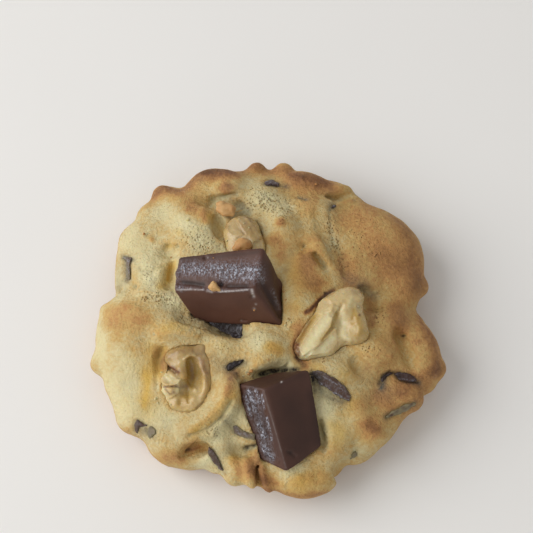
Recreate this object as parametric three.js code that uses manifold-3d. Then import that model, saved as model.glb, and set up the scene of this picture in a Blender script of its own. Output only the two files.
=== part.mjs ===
// A thick drop cookie with chocolate chunks and walnut pieces, in millimetres.
// +Z is up, the flat base lies on z = 0 and -Y is the side nearest the viewer.
import * as THREE from "three";
import { ConvexGeometry } from "three/addons/geometries/ConvexGeometry.js";
import { mergeVertices } from "three/addons/utils/BufferGeometryUtils.js";
import Module from "manifold-3d";

const wasm = await Module();
wasm.setup();

// Driving dimensions of the dough
const MEAN_RADIUS = 43;
const REAR_STRETCH = 2.3;
const REAR_ANGLE = 100;
const CROWN_HEIGHT = 21;
const WIDEST_LEVEL = 8;
const UNDERCUT = 17.7;
const SIDE_POWER = 2.4;
const CROWN_POWER = 1.82;
const UNDERCUT_POWER = 2;
const SWELL_BLEND = 2.6;
const HOLLOW_BLEND = 1.6;
const BASE_BLEND = 1.2;

// Every buried piece lies in a pocket this much wider than itself
const PIECE_GAP = 0.34;

// Mesh fineness
const SECTORS = 96;
const TOP_RINGS = 14;
const SIDE_RINGS = 12;
const BASE_RINGS = 2;
const CORE_REACH = 0.7;
const CORE_LEVEL = 7;
const BASE_REACH = 0.8;
const LOWEST_TILT = -38;
const HIGHEST_TILT = 90;
const RAY_STEPS = 48;
const RAY_HALVINGS = 12;
const TOP_RAY = 24;
const SIDE_RAY = 28;
const NUT_RAY = 16;
const MERGE_WITHIN = 1e-4;

// The plan was laid out round the middle of the crown; the group is moved by
// this much so that its origin is the middle of the whole at the base
const PLAN_CENTRE = [0.25, 1.85];

// The outline bulges and draws in round the rim: [angle, spread in degrees, amount]
const OUTLINE_LOBES = [
  [11, 8, -4.6],
  [35, 11, 3.3],
  [67, 9, 2.0],
  [96, 6, 0.8],
  [110, 7, 2.8],
  [125, 5, 2.2],
  [130, 8, 4.2],
  [142, 5, 0.6],
  [160, 8, -3.2],
  [169, 4, 0.8],
  [180, 5, 0.8],
  [190, 7, 2.2],
  [203, 5, 0.9],
  [214.5, 6, 3.6],
  [231, 7, 3.2],
  [242, 5, 1.0],
  [248, 5, -0.8],
  [251, 9, -1.9],
  [283, 8, 3.4],
  [301, 4, -0.8],
  [314, 9, 1.3],
  [345, 9, 4.2],
];

// Swells of the dough: centre x, y, half length, half width, turn of the length
// in degrees, and the rise of the top over the plain crown
const SWELLS = {
  leftShoulder: [-30.5, 25, 12, 7, 52, 0.9],
  tanSlope: [-19.5, 33.5, 9, 6, 25, 0.8],
  rearLeftLump: [-15, 40, 6.5, 5, 20, 1.6],
  knottedLump: [-9.5, 38, 5, 5.5, 60, 2.0],
  knotTip: [-8.5, 35.5, 3, 2.6, 10, 2.4],
  orangeRidge: [-17.2, 27.2, 8, 4.6, -12, 2.2],
  paleCrownRear: [-1.5, 32.5, 7.5, 8, 0, 1.4],
  spongyShelf: [-17.5, 20.5, 7, 5, -25, 1.6],
  leftCrumbLump: [-30.5, 13.5, 6.4, 7.5, 15, 1.6],
  leftRimKnob: [-35.2, 25, 3.6, 4.2, 30, 1.2],
  leftRimRoll: [-36.4, 15, 3.6, 6, 0, 0.6],
  bigLeftLump: [-33.5, -6, 9.5, 12.5, 8, 2.4],
  bigLeftBrow: [-29.5, 0.5, 9, 6, -14, 2.2],
  porousCrest: [-27, 6, 6.5, 2.8, -20, 1.0],
  yellowWall: [-21.6, -4.6, 7, 3, 2, 2.6],
  paleCushion: [-10.5, -9.6, 5.4, 5.4, 20, 1.6],
  centreLump: [-0.4, -9.6, 7.6, 7.4, 0, 2.6],
  paleRimLeft: [-34.6, -16.6, 6, 9, 20, 0.6],
  leftLowTip: [-31.8, -23.8, 5, 5, 30, 1.0],
  lowerLeftLump: [-24, -28.8, 8, 5.4, -38, 1.6],
  paleCrumbLow: [-14.2, -30.2, 4.6, 3.2, 10, 1.0],
  bottomPaleLobe: [-14.6, -32.8, 5.4, 3.8, -12, 0.8],
  bottomOrangeLobe: [-8.6, -36.2, 3.4, 5.6, 8, 1.6],
  foldRidgeA: [-3.9, -38.2, 2.2, 4.6, 8, 2.0],
  foldRidgeB: [-0.2, -39.2, 1.8, 4.2, 12, 1.4],
  chunkRidge: [8, 5, 5, 9.5, 8, 2.0],
  orangeBump: [4.2, 24.6, 4, 6, 10, 2.4],
  broadOrangeRidge: [10.8, 12.6, 5.5, 7, -20, 1.6],
  tanBetween: [13.4, 18.4, 4.2, 4.6, 0, 1.2],
  upperMid: [12, 29, 7, 6, 0, 1.0],
  rearBrownLump: [9.8, 39.4, 7, 4.6, -14, 1.6],
  rearRightFlank: [20, 35.5, 6, 4, -35, 0.5],
  rightLobe: [29.5, 23, 14, 9.5, -42, 2.0],
  rightLobeLow: [34, 11.5, 6.5, 8, 0, 1.4],
  rightTanSlope: [30.5, -0.6, 6, 6, 0, 1.0],
  spongyRight: [27, -9.4, 5.4, 5, 0, 1.8],
  belowNut: [15.6, -14.4, 7, 4, -12, 1.2],
  rightRimLump: [39, -6.8, 5.5, 8, 12, 2.2],
  chocolateBump: [33.4, -18.4, 6.6, 4.6, -16, 2.0],
  lowerRightFlank: [29.8, -22, 5, 4.4, -38, 0.6],
  brownLump: [26.4, -27.6, 4.4, 4.4, 0, 2.4],
  brownLumpInner: [22.6, -25, 3.6, 3.8, 0, 1.8],
  yellowRight: [17.6, -25.4, 4, 7, 12, 1.0],
  paleKnob: [22.4, -32.2, 4.6, 3.2, 15, 0.8],
  frontSlope: [14.6, -33.8, 5.6, 3.6, 18, 1.0],
  bottomLobe: [9.6, -39.4, 8.4, 5, 0, 1.2],
};

// The rounded roll of dough along the lower right of the left walnut
const ROLL_PATH = [
  [-8.8, -18],
  [-9.8, -22.4],
  [-12.6, -26],
  [-16.4, -28.2],
  [-20, -29],
];
const ROLL_RADIUS = 2.5;
const ROLL_RISE = 2.6;
const ROLL_POINTS = 9;

// Small knobs standing out of the rim: centre x, y, z and radius
const RIM_KNOBS = [
  [-2.7, 46.2, 9, 2.2],
  [4.4, 45.2, 10, 2.6],
  [43.6, -10.6, 8, 2.6],
  [40.4, 12.2, 8.4, 2.2],
  [-42.9, -9, 8, 2.6],
];

// Hollows pressed into the surface: centre x, y, half length, half width, turn, depth
const HOLLOWS = {
  leftNotch: [-41.5, 9.4, 4, 2.2, 10, 4.5],
  yellowHollow: [-25.6, 18.6, 2.6, 1.8, -20, 2.2],
  chunkSideHollow: [-24.8, 11.4, 1.8, 4, 0, 2.4],
  rearCrevice: [-12.6, 32.4, 6, 2, -12, 2.2],
  orangeRidgeFoot: [-12.4, 24.6, 1.8, 3.6, 12, 2.6],
  oliveSlope: [-18.4, 0.2, 4.6, 3.6, -20, 1.8],
  chunkPit: [-10.2, -2.6, 6.6, 3, -16, 4.6],
  underRoll: [-17.8, -33.4, 4.2, 2, 24, 2.4],
  lowerDark: [-6.6, -34, 3, 1.6, -14, 2.6],
  foldGroove: [-2.2, -38.8, 0.9, 5, 10, 1.6],
  sideOfChunk: [13.6, -30.6, 1.4, 4.4, 8, 2.6],
  poreValley: [17.2, 20.6, 2.6, 10, 24, 1.0],
  dentInner: [9.6, 18.6, 2, 1.6, 30, 1.2],
  dentOuter: [13.8, 14.6, 1.2, 3, 38, 1.2],
  nutHollow: [26.4, 5.2, 4, 3, -40, 2.0],
  dimple: [22.8, -12.8, 1.6, 2.2, 20, 1.6],
  rightHole: [33.8, -4.2, 1.6, 2, 30, 2.8],
  rightCrease: [35.6, -9, 1.4, 4.8, 24, 1.8],
  rimFold: [19.6, 36, 4.6, 1.4, 14, 1.8],
  frontNotch: [19, -37.4, 2.4, 3, -40, 5],
  gapBehindChunk: [1, -14.6, 5, 1.8, 22, 3.4],
};

const degrees = (a) => (a * Math.PI) / 180;

// Radius of the outline at the widest level, for an angle in radians
function outlineRadius(angle) {
  const turn = THREE.MathUtils.radToDeg(angle);
  let radius =
    MEAN_RADIUS + REAR_STRETCH * Math.cos(degrees(turn - REAR_ANGLE));
  for (const [centre, spread, amount] of OUTLINE_LOBES) {
    const off = THREE.MathUtils.euclideanModulo(turn - centre + 180, 360) - 180;
    radius += amount * Math.exp(-((off / spread) ** 2));
  }
  return radius;
}

// Height of the plain crown over a point of the plan
function crownHeight(x, y) {
  const reach = Math.min(Math.hypot(x, y) / outlineRadius(Math.atan2(y, x)), 1);
  const lift = (1 - reach ** SIDE_POWER) ** (1 / CROWN_POWER);
  return WIDEST_LEVEL + (CROWN_HEIGHT - WIDEST_LEVEL) * lift;
}

// Signed distance to the plain loaf, negative inside
const DEEPEST = -12;
const LEAST_SLOPE = 0.03;
function loafDistance(x, y, z) {
  const radius = outlineRadius(Math.atan2(y, x));
  const reach = Math.hypot(x, y) / radius;
  const upper = z > WIDEST_LEVEL;
  const span = upper ? CROWN_HEIGHT - WIDEST_LEVEL : UNDERCUT;
  const power = upper ? CROWN_POWER : UNDERCUT_POWER;
  const level = Math.abs(z - WIDEST_LEVEL) / span;
  const value = reach ** SIDE_POWER + level ** power - 1;
  const slopeOut = (SIDE_POWER * reach ** (SIDE_POWER - 1)) / radius;
  const slopeUp = (power * level ** (power - 1)) / span;
  const slope = Math.max(Math.hypot(slopeOut, slopeUp), LEAST_SLOPE);
  return Math.max(value / slope, DEEPEST);
}

// Signed distance to an ellipsoid turned about Z
function ellipsoidDistance(x, y, z, centre, half, turn) {
  const c = Math.cos(turn);
  const s = Math.sin(turn);
  const dx = x - centre[0];
  const dy = y - centre[1];
  const p = [c * dx + s * dy, c * dy - s * dx, z - centre[2]];
  const k0 = Math.hypot(p[0] / half[0], p[1] / half[1], p[2] / half[2]);
  const k1 = Math.hypot(
    p[0] / half[0] ** 2,
    p[1] / half[1] ** 2,
    p[2] / half[2] ** 2,
  );
  return k1 === 0 ? -Math.min(...half) : (k0 * (k0 - 1)) / k1;
}

const softMin = (a, b, blend) => {
  const h = Math.max(blend - Math.abs(a - b), 0) / blend;
  return Math.min(a, b) - (h * h * blend) / 4;
};
const softMax = (a, b, blend) => -softMin(-a, -b, blend);

// How deep each form reaches: swells by their smaller half width
const SWELL_DEPTH = 0.8;
const SWELL_ROOT = 1;
const SHALLOWEST_HOLLOW = 1.6;
const swellForms = Object.values(SWELLS).map(([x, y, a, b, turn, rise]) => {
  const deep = SWELL_DEPTH * Math.min(a, b) + SWELL_ROOT;
  const top = crownHeight(x, y) + rise;
  return { centre: [x, y, top - deep], half: [a, b, deep], turn: degrees(turn) };
});
const rollForms = new THREE.CatmullRomCurve3(
  ROLL_PATH.map(([x, y]) => {
    const level = crownHeight(x, y) + ROLL_RISE - ROLL_RADIUS;
    return new THREE.Vector3(x, y, level);
  }),
)
  .getSpacedPoints(ROLL_POINTS)
  .map((p) => ({
    centre: p.toArray(),
    half: [ROLL_RADIUS, ROLL_RADIUS, ROLL_RADIUS],
    turn: 0,
  }));
const knobForms = RIM_KNOBS.map(([x, y, z, r]) => ({
  centre: [x, y, z],
  half: [r, r, r],
  turn: 0,
}));
const hollowForms = Object.values(HOLLOWS).map(([x, y, a, b, turn, depth]) => {
  const deep = Math.max(depth, SHALLOWEST_HOLLOW);
  const level = crownHeight(x, y) - depth + deep;
  return { centre: [x, y, level], half: [a, b, deep], turn: degrees(turn) };
});

// Signed distance to the baked dough without its pockets
function doughDistance(x, y, z) {
  let d = loafDistance(x, y, z);
  for (const f of [...swellForms, ...rollForms, ...knobForms])
    d = softMin(
      d,
      ellipsoidDistance(x, y, z, f.centre, f.half, f.turn),
      SWELL_BLEND,
    );
  for (const f of hollowForms)
    d = softMax(
      d,
      -ellipsoidDistance(x, y, z, f.centre, f.half, f.turn),
      HOLLOW_BLEND,
    );
  return softMax(d, -z, BASE_BLEND);
}

// Outermost crossing of a distance field along a ray from an inner point
function surfaceAlong(from, direction, field, reach) {
  const at = (t) =>
    field(
      from[0] + direction[0] * t,
      from[1] + direction[1] * t,
      from[2] + direction[2] * t,
    );
  const step = reach / RAY_STEPS;
  let outside = reach;
  while (outside > step && at(outside - step) > 0) outside -= step;
  let inside = Math.max(outside - step, 0);
  for (let i = 0; i < RAY_HALVINGS; i++) {
    const middle = (inside + outside) / 2;
    if (at(middle) > 0) outside = middle;
    else inside = middle;
  }
  return [0, 1, 2].map((i) => from[i] + direction[i] * inside);
}

const doughTop = (x, y) =>
  surfaceAlong([x, y, CORE_LEVEL], [0, 0, 1], doughDistance, TOP_RAY)[2];

// Geometry to solid and back
function solidOf(geometry) {
  const plain = geometry.clone();
  plain.deleteAttribute("normal");
  plain.deleteAttribute("uv");
  const merged = mergeVertices(plain, MERGE_WITHIN);
  return new wasm.Manifold(
    new wasm.Mesh({
      numProp: 3,
      vertProperties: new Float32Array(merged.attributes.position.array),
      triVerts: new Uint32Array(merged.index.array),
    }),
  );
}

function geometryOf(solid) {
  const mesh = solid.getMesh();
  return new THREE.BufferGeometry()
    .setAttribute("position", new THREE.BufferAttribute(mesh.vertProperties, 3))
    .setIndex(new THREE.BufferAttribute(mesh.triVerts, 1));
}

// The loaf's blank is a lathe; each vertex then slides along its own ray onto
// the dough's surface, straight up over the core and outwards round the rim
function doughGeometry() {
  const profile = [];
  for (let i = 0; i <= BASE_RINGS; i++)
    profile.push({ kind: "base", reach: (i / BASE_RINGS) * BASE_REACH });
  for (let i = 1; i <= SIDE_RINGS; i++)
    profile.push({
      kind: "side",
      tilt: THREE.MathUtils.lerp(LOWEST_TILT, HIGHEST_TILT, i / SIDE_RINGS),
    });
  for (let i = TOP_RINGS - 1; i >= 0; i--)
    profile.push({ kind: "top", reach: (i / TOP_RINGS) * CORE_REACH });
  const blank = new THREE.LatheGeometry(
    profile.map((p, i) => {
      const onAxis = i === 0 || i === profile.length - 1;
      return new THREE.Vector2(onAxis ? 0 : 1 + (p.reach ?? 1), i);
    }),
    SECTORS,
  );
  const position = blank.attributes.position;
  for (let v = 0; v < position.count; v++) {
    const p = profile[v % profile.length];
    const sector = Math.floor(v / profile.length) % SECTORS;
    const angle = (sector / SECTORS) * 2 * Math.PI;
    const radius = outlineRadius(angle);
    const out = [Math.cos(angle), Math.sin(angle)];
    const core = (p.reach ?? CORE_REACH) * radius;
    const from = [out[0] * core, out[1] * core, CORE_LEVEL];
    let spot = [from[0], from[1], 0];
    if (p.kind === "top")
      spot = surfaceAlong(from, [0, 0, 1], doughDistance, TOP_RAY);
    if (p.kind === "side") {
      const tilt = degrees(p.tilt);
      const along = Math.cos(tilt);
      spot = surfaceAlong(
        from,
        [out[0] * along, out[1] * along, Math.sin(tilt)],
        doughDistance,
        SIDE_RAY,
      );
    }
    position.setXYZ(v, spot[0], spot[1], Math.max(spot[2], 0));
  }
  return blank;
}

// A chunk snapped off a bar: eight corners from a near corner and three edges,
// each corner cut back a little; grow pushes every face outwards
function chunkGeometry({ corner, edges, trims = {} }, bevel, grow = 0) {
  const units = edges.map((e) => new THREE.Vector3(...e).normalize());
  const points = [];
  for (let n = 0; n < 8; n++) {
    const bits = [n & 1, (n >> 1) & 1, (n >> 2) & 1];
    const p = new THREE.Vector3(...corner);
    edges.forEach((e, i) =>
      p.addScaledVector(new THREE.Vector3(...e), bits[i]),
    );
    if (trims[n]) p.add(new THREE.Vector3(...trims[n]));
    units.forEach((u, i) => p.addScaledVector(u, bits[i] ? grow : -grow));
    units.forEach((u, i) =>
      points.push(p.clone().addScaledVector(u, bits[i] ? -bevel : bevel)),
    );
  }
  return new ConvexGeometry(points);
}

// The two large chunks: near top corner, then the edges to its neighbours
const UPPER_CHUNK = {
  corner: [-3.2, 2.8, 29.6],
  edges: [
    [-19.6, 2.4, -5.4],
    [2.1, 11.2, 0.6],
    [7.1, -5.2, -9.2],
  ],
  trims: { 3: [-1.4, -2.6, -0.2], 5: [-1.4, -0.4, 1.6], 6: [-2, -0.8, -1] },
};
const LOWER_CHUNK = {
  corner: [-0.7, -21.7, 26.2],
  edges: [
    [10.7, 5.2, -1.8],
    [5.3, -18, -8.8],
    [-6.3, 3.1, -5.8],
  ],
  trims: { 3: [-1.8, 1.1, 0.6], 5: [-1.2, -1.5, 0.4], 6: [0, 1.2, 1.6] },
};
const CHUNK_BEVEL = 0.7;

// Shards of chocolate lying flush in the dough: centre x, y, half length, width
// and thickness, turn in degrees, and how far the top stands proud
const SHARDS = {
  shard_in_pit: [-8.6, -2.6, 3.8, 2.2, 2.2, -18, 0.5],
  shard_centre: [-7.6, -13.3, 2.7, 1.2, 1.6, 22, 0.3],
  shard_right_of_chunk: [15.4, -18.4, 5.8, 2, 2, -36, 0.7],
  shard_right_edge: [35.4, -15, 3.4, 1.2, 1.7, -13, 0.4],
  shard_right_arc: [29.2, -16, 2.4, 0.9, 1.4, 52, 0.2],
  shard_lower_right: [33.2, -22.4, 4.4, 1, 1.5, 30, 0.2],
  chip_left_upper: [-31.4, -26.6, 1.5, 1.1, 1.2, -40, 0.2],
  chip_left_lower: [-28.2, -28.2, 1.4, 1.3, 1.2, 35, 0.2],
  shard_bottom: [-12.4, -34.8, 3.4, 0.9, 1.5, -56, 0.3],
  shard_lower_centre: [-6, -30, 3.8, 1.2, 1.6, -30, 0.1],
  chip_left_edge: [-36, 15, 0.8, 3.2, 1.3, -6, 0.1],
  chip_rear: [1.6, 39, 1.9, 0.7, 1.2, -8, 0.2],
  chip_rear_right: [17.8, 32.6, 0.9, 0.5, 0.9, 14, 0.2],
  chip_front: [22, -32.8, 1.2, 0.9, 1.1, -30, 0.1],
};
const SHARD_BEVEL = 0.3;
const SHARD_TAPER = 0.7;
const NORMAL_STEP = 0.8;

// Outward direction of the dough at a point of its surface
function doughNormal([x, y, z]) {
  const h = NORMAL_STEP;
  return new THREE.Vector3(
    doughDistance(x + h, y, z) - doughDistance(x - h, y, z),
    doughDistance(x, y + h, z) - doughDistance(x, y - h, z),
    doughDistance(x, y, z + h) - doughDistance(x, y, z - h),
  ).normalize();
}

function shardGeometry([x, y, a, b, c, turn, proud], grow = 0) {
  const spot = [x, y, doughTop(x, y)];
  const up = doughNormal(spot);
  const along = new THREE.Vector3(
    Math.cos(degrees(turn)),
    Math.sin(degrees(turn)),
    0,
  )
    .projectOnPlane(up)
    .normalize();
  const axes = [along, up.clone().cross(along), up];
  const half = [a, b, c];
  const centre = new THREE.Vector3(...spot).addScaledVector(up, proud - c);
  const points = [];
  for (let n = 0; n < 8; n++) {
    const sign = [n & 1 ? 1 : -1, n & 2 ? 1 : -1, n & 4 ? 1 : -1];
    const taper = n & 4 ? 1 : SHARD_TAPER;
    const p = centre.clone();
    axes.forEach((u, i) =>
      p.addScaledVector(u, sign[i] * (half[i] * (i < 2 ? taper : 1) + grow)),
    );
    axes.forEach((u, i) =>
      points.push(p.clone().addScaledVector(u, -sign[i] * SHARD_BEVEL)),
    );
  }
  return new ConvexGeometry(points);
}

// Walnut pieces are wrapped over rounded lobes: centre, half sizes, turn;
// dips are pressed into them the same way
const WALNUTS = {
  walnut_right: {
    middle: [16.8, -2.6, 19.4],
    lobes: [
      [[12.8, -5, 20.1], [8.6, 3.8, 3.7], 56],
      [[9.7, -8.8, 19.4], [3.1, 2.7, 3], 10],
      [[18.8, 2.6, 20.4], [5, 3.7, 3.6], 42],
      [[22, -0.9, 20], [5.5, 2.8, 3.3], -72],
      [[22.4, -5, 19.4], [2.9, 2.6, 2.9], 0],
      [[18.2, -5.5, 18.8], [3, 2.6, 2.8], 0],
    ],
    dips: [
      [[19, -2.4, 23.4], [4.6, 1, 2], 64],
      [[14.4, -4.2, 24], [4.4, 1, 1.5], 50],
    ],
    blend: 1.4,
    detail: 6,
  },
  walnut_left: {
    middle: [-20, -16, 16.2],
    lobes: [
      [[-20.4, -10.4, 17.6], [5.4, 2.8, 3.4], 6],
      [[-15.6, -12.4, 17.4], [2.2, 3.4, 3.2], 14],
      [[-15.2, -17.4, 16.8], [1.9, 4.2, 3.2], -10],
      [[-17.8, -22, 16], [3.4, 2.4, 3], 32],
      [[-21.4, -22, 15.4], [3.4, 2.6, 2.8], -10],
      [[-23.6, -17.6, 16.2], [3, 3.6, 3.6], 8],
      [[-20.8, -13.8, 17], [2.6, 3.2, 3.6], 0],
    ],
    dips: [[[-18, -16.4, 20.2], [1.5, 4.4, 3.2], 8]],
    blend: 1.4,
    detail: 6,
  },
  walnut_top: {
    middle: [-6, 21.4, 18.6],
    lobes: [
      [[-6.6, 23, 18.8], [4.6, 5, 3.8], -40],
      [[-3.6, 20, 19.2], [2.8, 5, 3.6], 24],
      [[-7.4, 18.6, 18.8], [3.4, 3, 3.2], 0],
    ],
    dips: [],
    blend: 1.6,
    detail: 5,
  },
};

// Their pockets have no dips, fewer facets and a little more room
const POCKET_DETAIL = 5;
const POCKET_SLACK = 0.45;
const DIP_BLEND = 0.8;

function walnutGeometry({ middle, lobes, dips, blend, detail }, grow = 0) {
  const field = (x, y, z) => {
    let d = Infinity;
    for (const [centre, half, turn] of lobes) {
      const lobe = ellipsoidDistance(x, y, z, centre, half, degrees(turn));
      d = d === Infinity ? lobe : softMin(d, lobe, blend);
    }
    for (const [centre, half, turn] of grow ? [] : dips) {
      const dip = ellipsoidDistance(x, y, z, centre, half, degrees(turn));
      d = softMax(d, -dip, DIP_BLEND);
    }
    return d - (grow ? grow + POCKET_SLACK : 0);
  };
  const blank = new THREE.IcosahedronGeometry(1, grow ? POCKET_DETAIL : detail);
  const position = blank.attributes.position;
  for (let v = 0; v < position.count; v++) {
    const way = [position.getX(v), position.getY(v), position.getZ(v)];
    position.setXYZ(v, ...surfaceAlong(middle, way, field, NUT_RAY));
  }
  return blank;
}

// Toasted crumbs of nut: centre, half sizes, turn
const CRUMBS = {
  crumb_on_chunk: [[-13.3, 5, 27], [2.2, 1.3, 1.3], -34],
  crumb_golden_front: [[-6.4, 18.2, 22.6], [2.4, 2, 1.7], 6],
  crumb_golden_rear: [[-10.6, 29.4, 20.4], [2.8, 1.7, 1.8], -38],
};
const CRUMB_DETAIL = 2;
const CRUMB_ROUGHNESS = 0.16;
const CRUMB_WAVES = [5, 2, 4];

function crumbGeometry([centre, half, turn], grow = 0) {
  const blank = new THREE.IcosahedronGeometry(1, CRUMB_DETAIL);
  const position = blank.attributes.position;
  const p = new THREE.Vector3();
  for (let v = 0; v < position.count; v++) {
    p.fromBufferAttribute(position, v);
    const across = Math.sin(CRUMB_WAVES[0] * p.x + CRUMB_WAVES[1] * p.y);
    const upward = Math.cos(CRUMB_WAVES[2] * p.z + centre[0]);
    const uneven = 1 + CRUMB_ROUGHNESS * across * upward;
    const size = half.map((h) => h * uneven + grow);
    p.set(p.x * size[0], p.y * size[1], p.z * size[2]);
    p.applyAxisAngle(new THREE.Vector3(0, 0, 1), degrees(turn));
    position.setXYZ(v, p.x + centre[0], p.y + centre[1], p.z + centre[2]);
  }
  return blank;
}

// Materials
const finish = (color, roughness) =>
  new THREE.MeshStandardMaterial({ color, roughness, metalness: 0 });
const BAKED = finish(0xc09a62, 0.82);
const CHOCOLATE = finish(0x4b302a, 0.42);
const NUT = finish(0xc7ac74, 0.55);
const TOASTED = finish(0xb98c50, 0.7);

// The pieces, each as a plain geometry and as a grown one that cuts its pocket
const pieces = [];
const addPiece = (name, material, shape) =>
  pieces.push({
    name,
    material,
    solid: solidOf(shape(0)),
    room: solidOf(shape(PIECE_GAP)),
  });

addPiece("chunk_upper", CHOCOLATE, (grow) =>
  chunkGeometry(UPPER_CHUNK, CHUNK_BEVEL, grow),
);
addPiece("chunk_lower", CHOCOLATE, (grow) =>
  chunkGeometry(LOWER_CHUNK, CHUNK_BEVEL, grow),
);
for (const [name, spec] of Object.entries(SHARDS))
  addPiece(name, CHOCOLATE, (grow) => shardGeometry(spec, grow));
for (const [name, spec] of Object.entries(WALNUTS))
  addPiece(name, NUT, (grow) => walnutGeometry(spec, grow));
for (const [name, spec] of Object.entries(CRUMBS))
  addPiece(name, TOASTED, (grow) => crumbGeometry(spec, grow));

// Where two pieces meet, the later one gives way
pieces.forEach((piece, i) => {
  for (const earlier of pieces.slice(0, i))
    piece.solid = piece.solid.subtract(earlier.room);
});

// The largest body of a cut piece; loose slivers are dropped
const largestBody = (solid) =>
  solid.decompose().sort((a, b) => b.volume() - a.volume())[0];

let dough = solidOf(doughGeometry());
for (const piece of pieces) dough = dough.subtract(piece.room);

const cookie = new THREE.Group();
cookie.name = "cookie";
const addMesh = (name, solid, material) => {
  const mesh = new THREE.Mesh(geometryOf(largestBody(solid)), material);
  mesh.name = name;
  cookie.add(mesh);
};
addMesh("dough", dough, BAKED);
for (const piece of pieces) addMesh(piece.name, piece.solid, piece.material);
cookie.position.set(-PLAN_CENTRE[0], -PLAN_CENTRE[1], 0);

export default cookie;
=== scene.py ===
# A thick drop cookie with chocolate chunks and walnut pieces, resting on a pale floor.
# Lengths are in millimetres and in the plan of the solids until a mesh is made, which is in metres.
import math

import bmesh
import bpy
import numpy as np
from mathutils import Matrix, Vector
from mathutils.bvhtree import BVHTree


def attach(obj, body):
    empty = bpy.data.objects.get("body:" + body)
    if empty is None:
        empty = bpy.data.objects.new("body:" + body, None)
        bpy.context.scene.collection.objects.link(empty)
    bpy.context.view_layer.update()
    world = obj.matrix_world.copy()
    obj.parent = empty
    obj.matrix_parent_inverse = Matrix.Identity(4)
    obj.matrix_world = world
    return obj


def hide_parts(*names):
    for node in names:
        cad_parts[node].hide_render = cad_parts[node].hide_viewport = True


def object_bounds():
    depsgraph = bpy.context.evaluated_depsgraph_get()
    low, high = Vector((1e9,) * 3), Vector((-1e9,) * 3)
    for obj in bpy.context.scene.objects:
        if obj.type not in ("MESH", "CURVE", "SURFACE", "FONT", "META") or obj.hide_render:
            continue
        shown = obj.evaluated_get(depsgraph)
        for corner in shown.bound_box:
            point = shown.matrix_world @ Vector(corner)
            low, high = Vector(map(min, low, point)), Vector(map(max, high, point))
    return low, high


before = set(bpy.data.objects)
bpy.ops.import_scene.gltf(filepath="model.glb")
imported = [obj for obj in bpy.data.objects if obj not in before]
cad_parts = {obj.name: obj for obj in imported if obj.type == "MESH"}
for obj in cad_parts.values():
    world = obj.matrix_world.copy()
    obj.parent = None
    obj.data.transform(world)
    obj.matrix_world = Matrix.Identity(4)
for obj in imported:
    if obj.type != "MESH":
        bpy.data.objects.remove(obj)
cad_box = [list(corner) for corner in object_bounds()]

MM = 0.001
PLAN_CENTRE = np.array([0.25, 1.85, 0.0])
CAD_LOW, CAD_HIGH = (np.array(corner) / MM + PLAN_CENTRE for corner in cad_box)

# The camera looks down on the cookie from the front; places on the object that were
# read off the photograph are given in its frame of 533 pixels a side
PHOTO_SIDE = 533
CAMERA_PLACE = np.array([-0.13, -136.81, 384.88])
CAMERA_TILT = math.radians(67.636)
FOCAL_PIXELS = 1538.0
SENSOR_WIDTH = 36.0
AHEAD = np.array([0.0, math.cos(CAMERA_TILT), -math.sin(CAMERA_TILT)])
UPWARD = np.array([0.0, math.sin(CAMERA_TILT), math.cos(CAMERA_TILT)])
ACROSS = np.array([1.0, 0.0, 0.0])

# Fineness of the meshes
DOUGH_STEP = 0.42
CHUNK_STEP = 0.24
NUT_STEP = 0.2
SHARD_STEP = 0.2
CRUMB_STEP = 0.18

# Driving sizes of the dough, as the solids have them
MEAN_RADIUS = 43
REAR_STRETCH = 2.3
REAR_ANGLE = 100
CROWN_HEIGHT = 21
WIDEST_LEVEL = 8
UNDERCUT = 17.7
SIDE_POWER = 2.4
CROWN_POWER = 1.82
UNDERCUT_POWER = 2
SWELL_BLEND = 2.6
HOLLOW_BLEND = 1.6
BASE_BLEND = 1.2
DEEPEST = -12
LEAST_SLOPE = 0.03
SWELL_DEPTH = 0.8
SWELL_ROOT = 1
SHALLOWEST_HOLLOW = 1.6

# The outline bulges and draws in round the rim: angle, spread in degrees, amount
OUTLINE_LOBES = [
    (11, 8, -4.6), (35, 11, 3.3), (67, 9, 2), (96, 6, 0.8), (110, 7, 2.8), (125, 5, 2.2),
    (130, 8, 4.2), (142, 5, 0.6), (160, 8, -3.2), (169, 4, 0.8), (180, 5, 0.8), (190, 7, 2.2),
    (203, 5, 0.9), (214.5, 6, 3.6), (231, 7, 3.2), (242, 5, 1), (248, 5, -0.8), (251, 9, -1.9),
    (283, 8, 3.4), (301, 4, -0.8), (314, 9, 1.3), (345, 9, 4.2),
]

# Finer bulges of the rim than the solids carry: angle, spread in degrees, amount
OUTLINE_TOUCHES = [
    (14, 4, -0.6), (27, 4, -0.5), (61, 3, -0.5), (70, 3, -0.6), (76, 3, 0.5), (85, 3, -0.5),
    (90, 2.5, 0.5), (102, 5, 0.7), (124, 3, 0.7), (130, 2.5, -0.9), (136, 3, 1), (151, 8, -1.1),
    (172, 5, 0.4), (190, 5, -0.7), (205, 3, -0.5), (220, 3, -0.4), (231, 3, -0.6), (250, 3, 1.5),
    (256, 3, -0.8), (270, 3, -0.6), (289, 3, -0.9), (296, 4, 1.7), (305, 3.5, -1.1), (319, 4, 0.4),
    (340, 2.5, 0.8), (345, 3, -1.3), (354, 5, -0.9), (0, 2.5, -0.5), (5, 2, 0.4),
]

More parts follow.
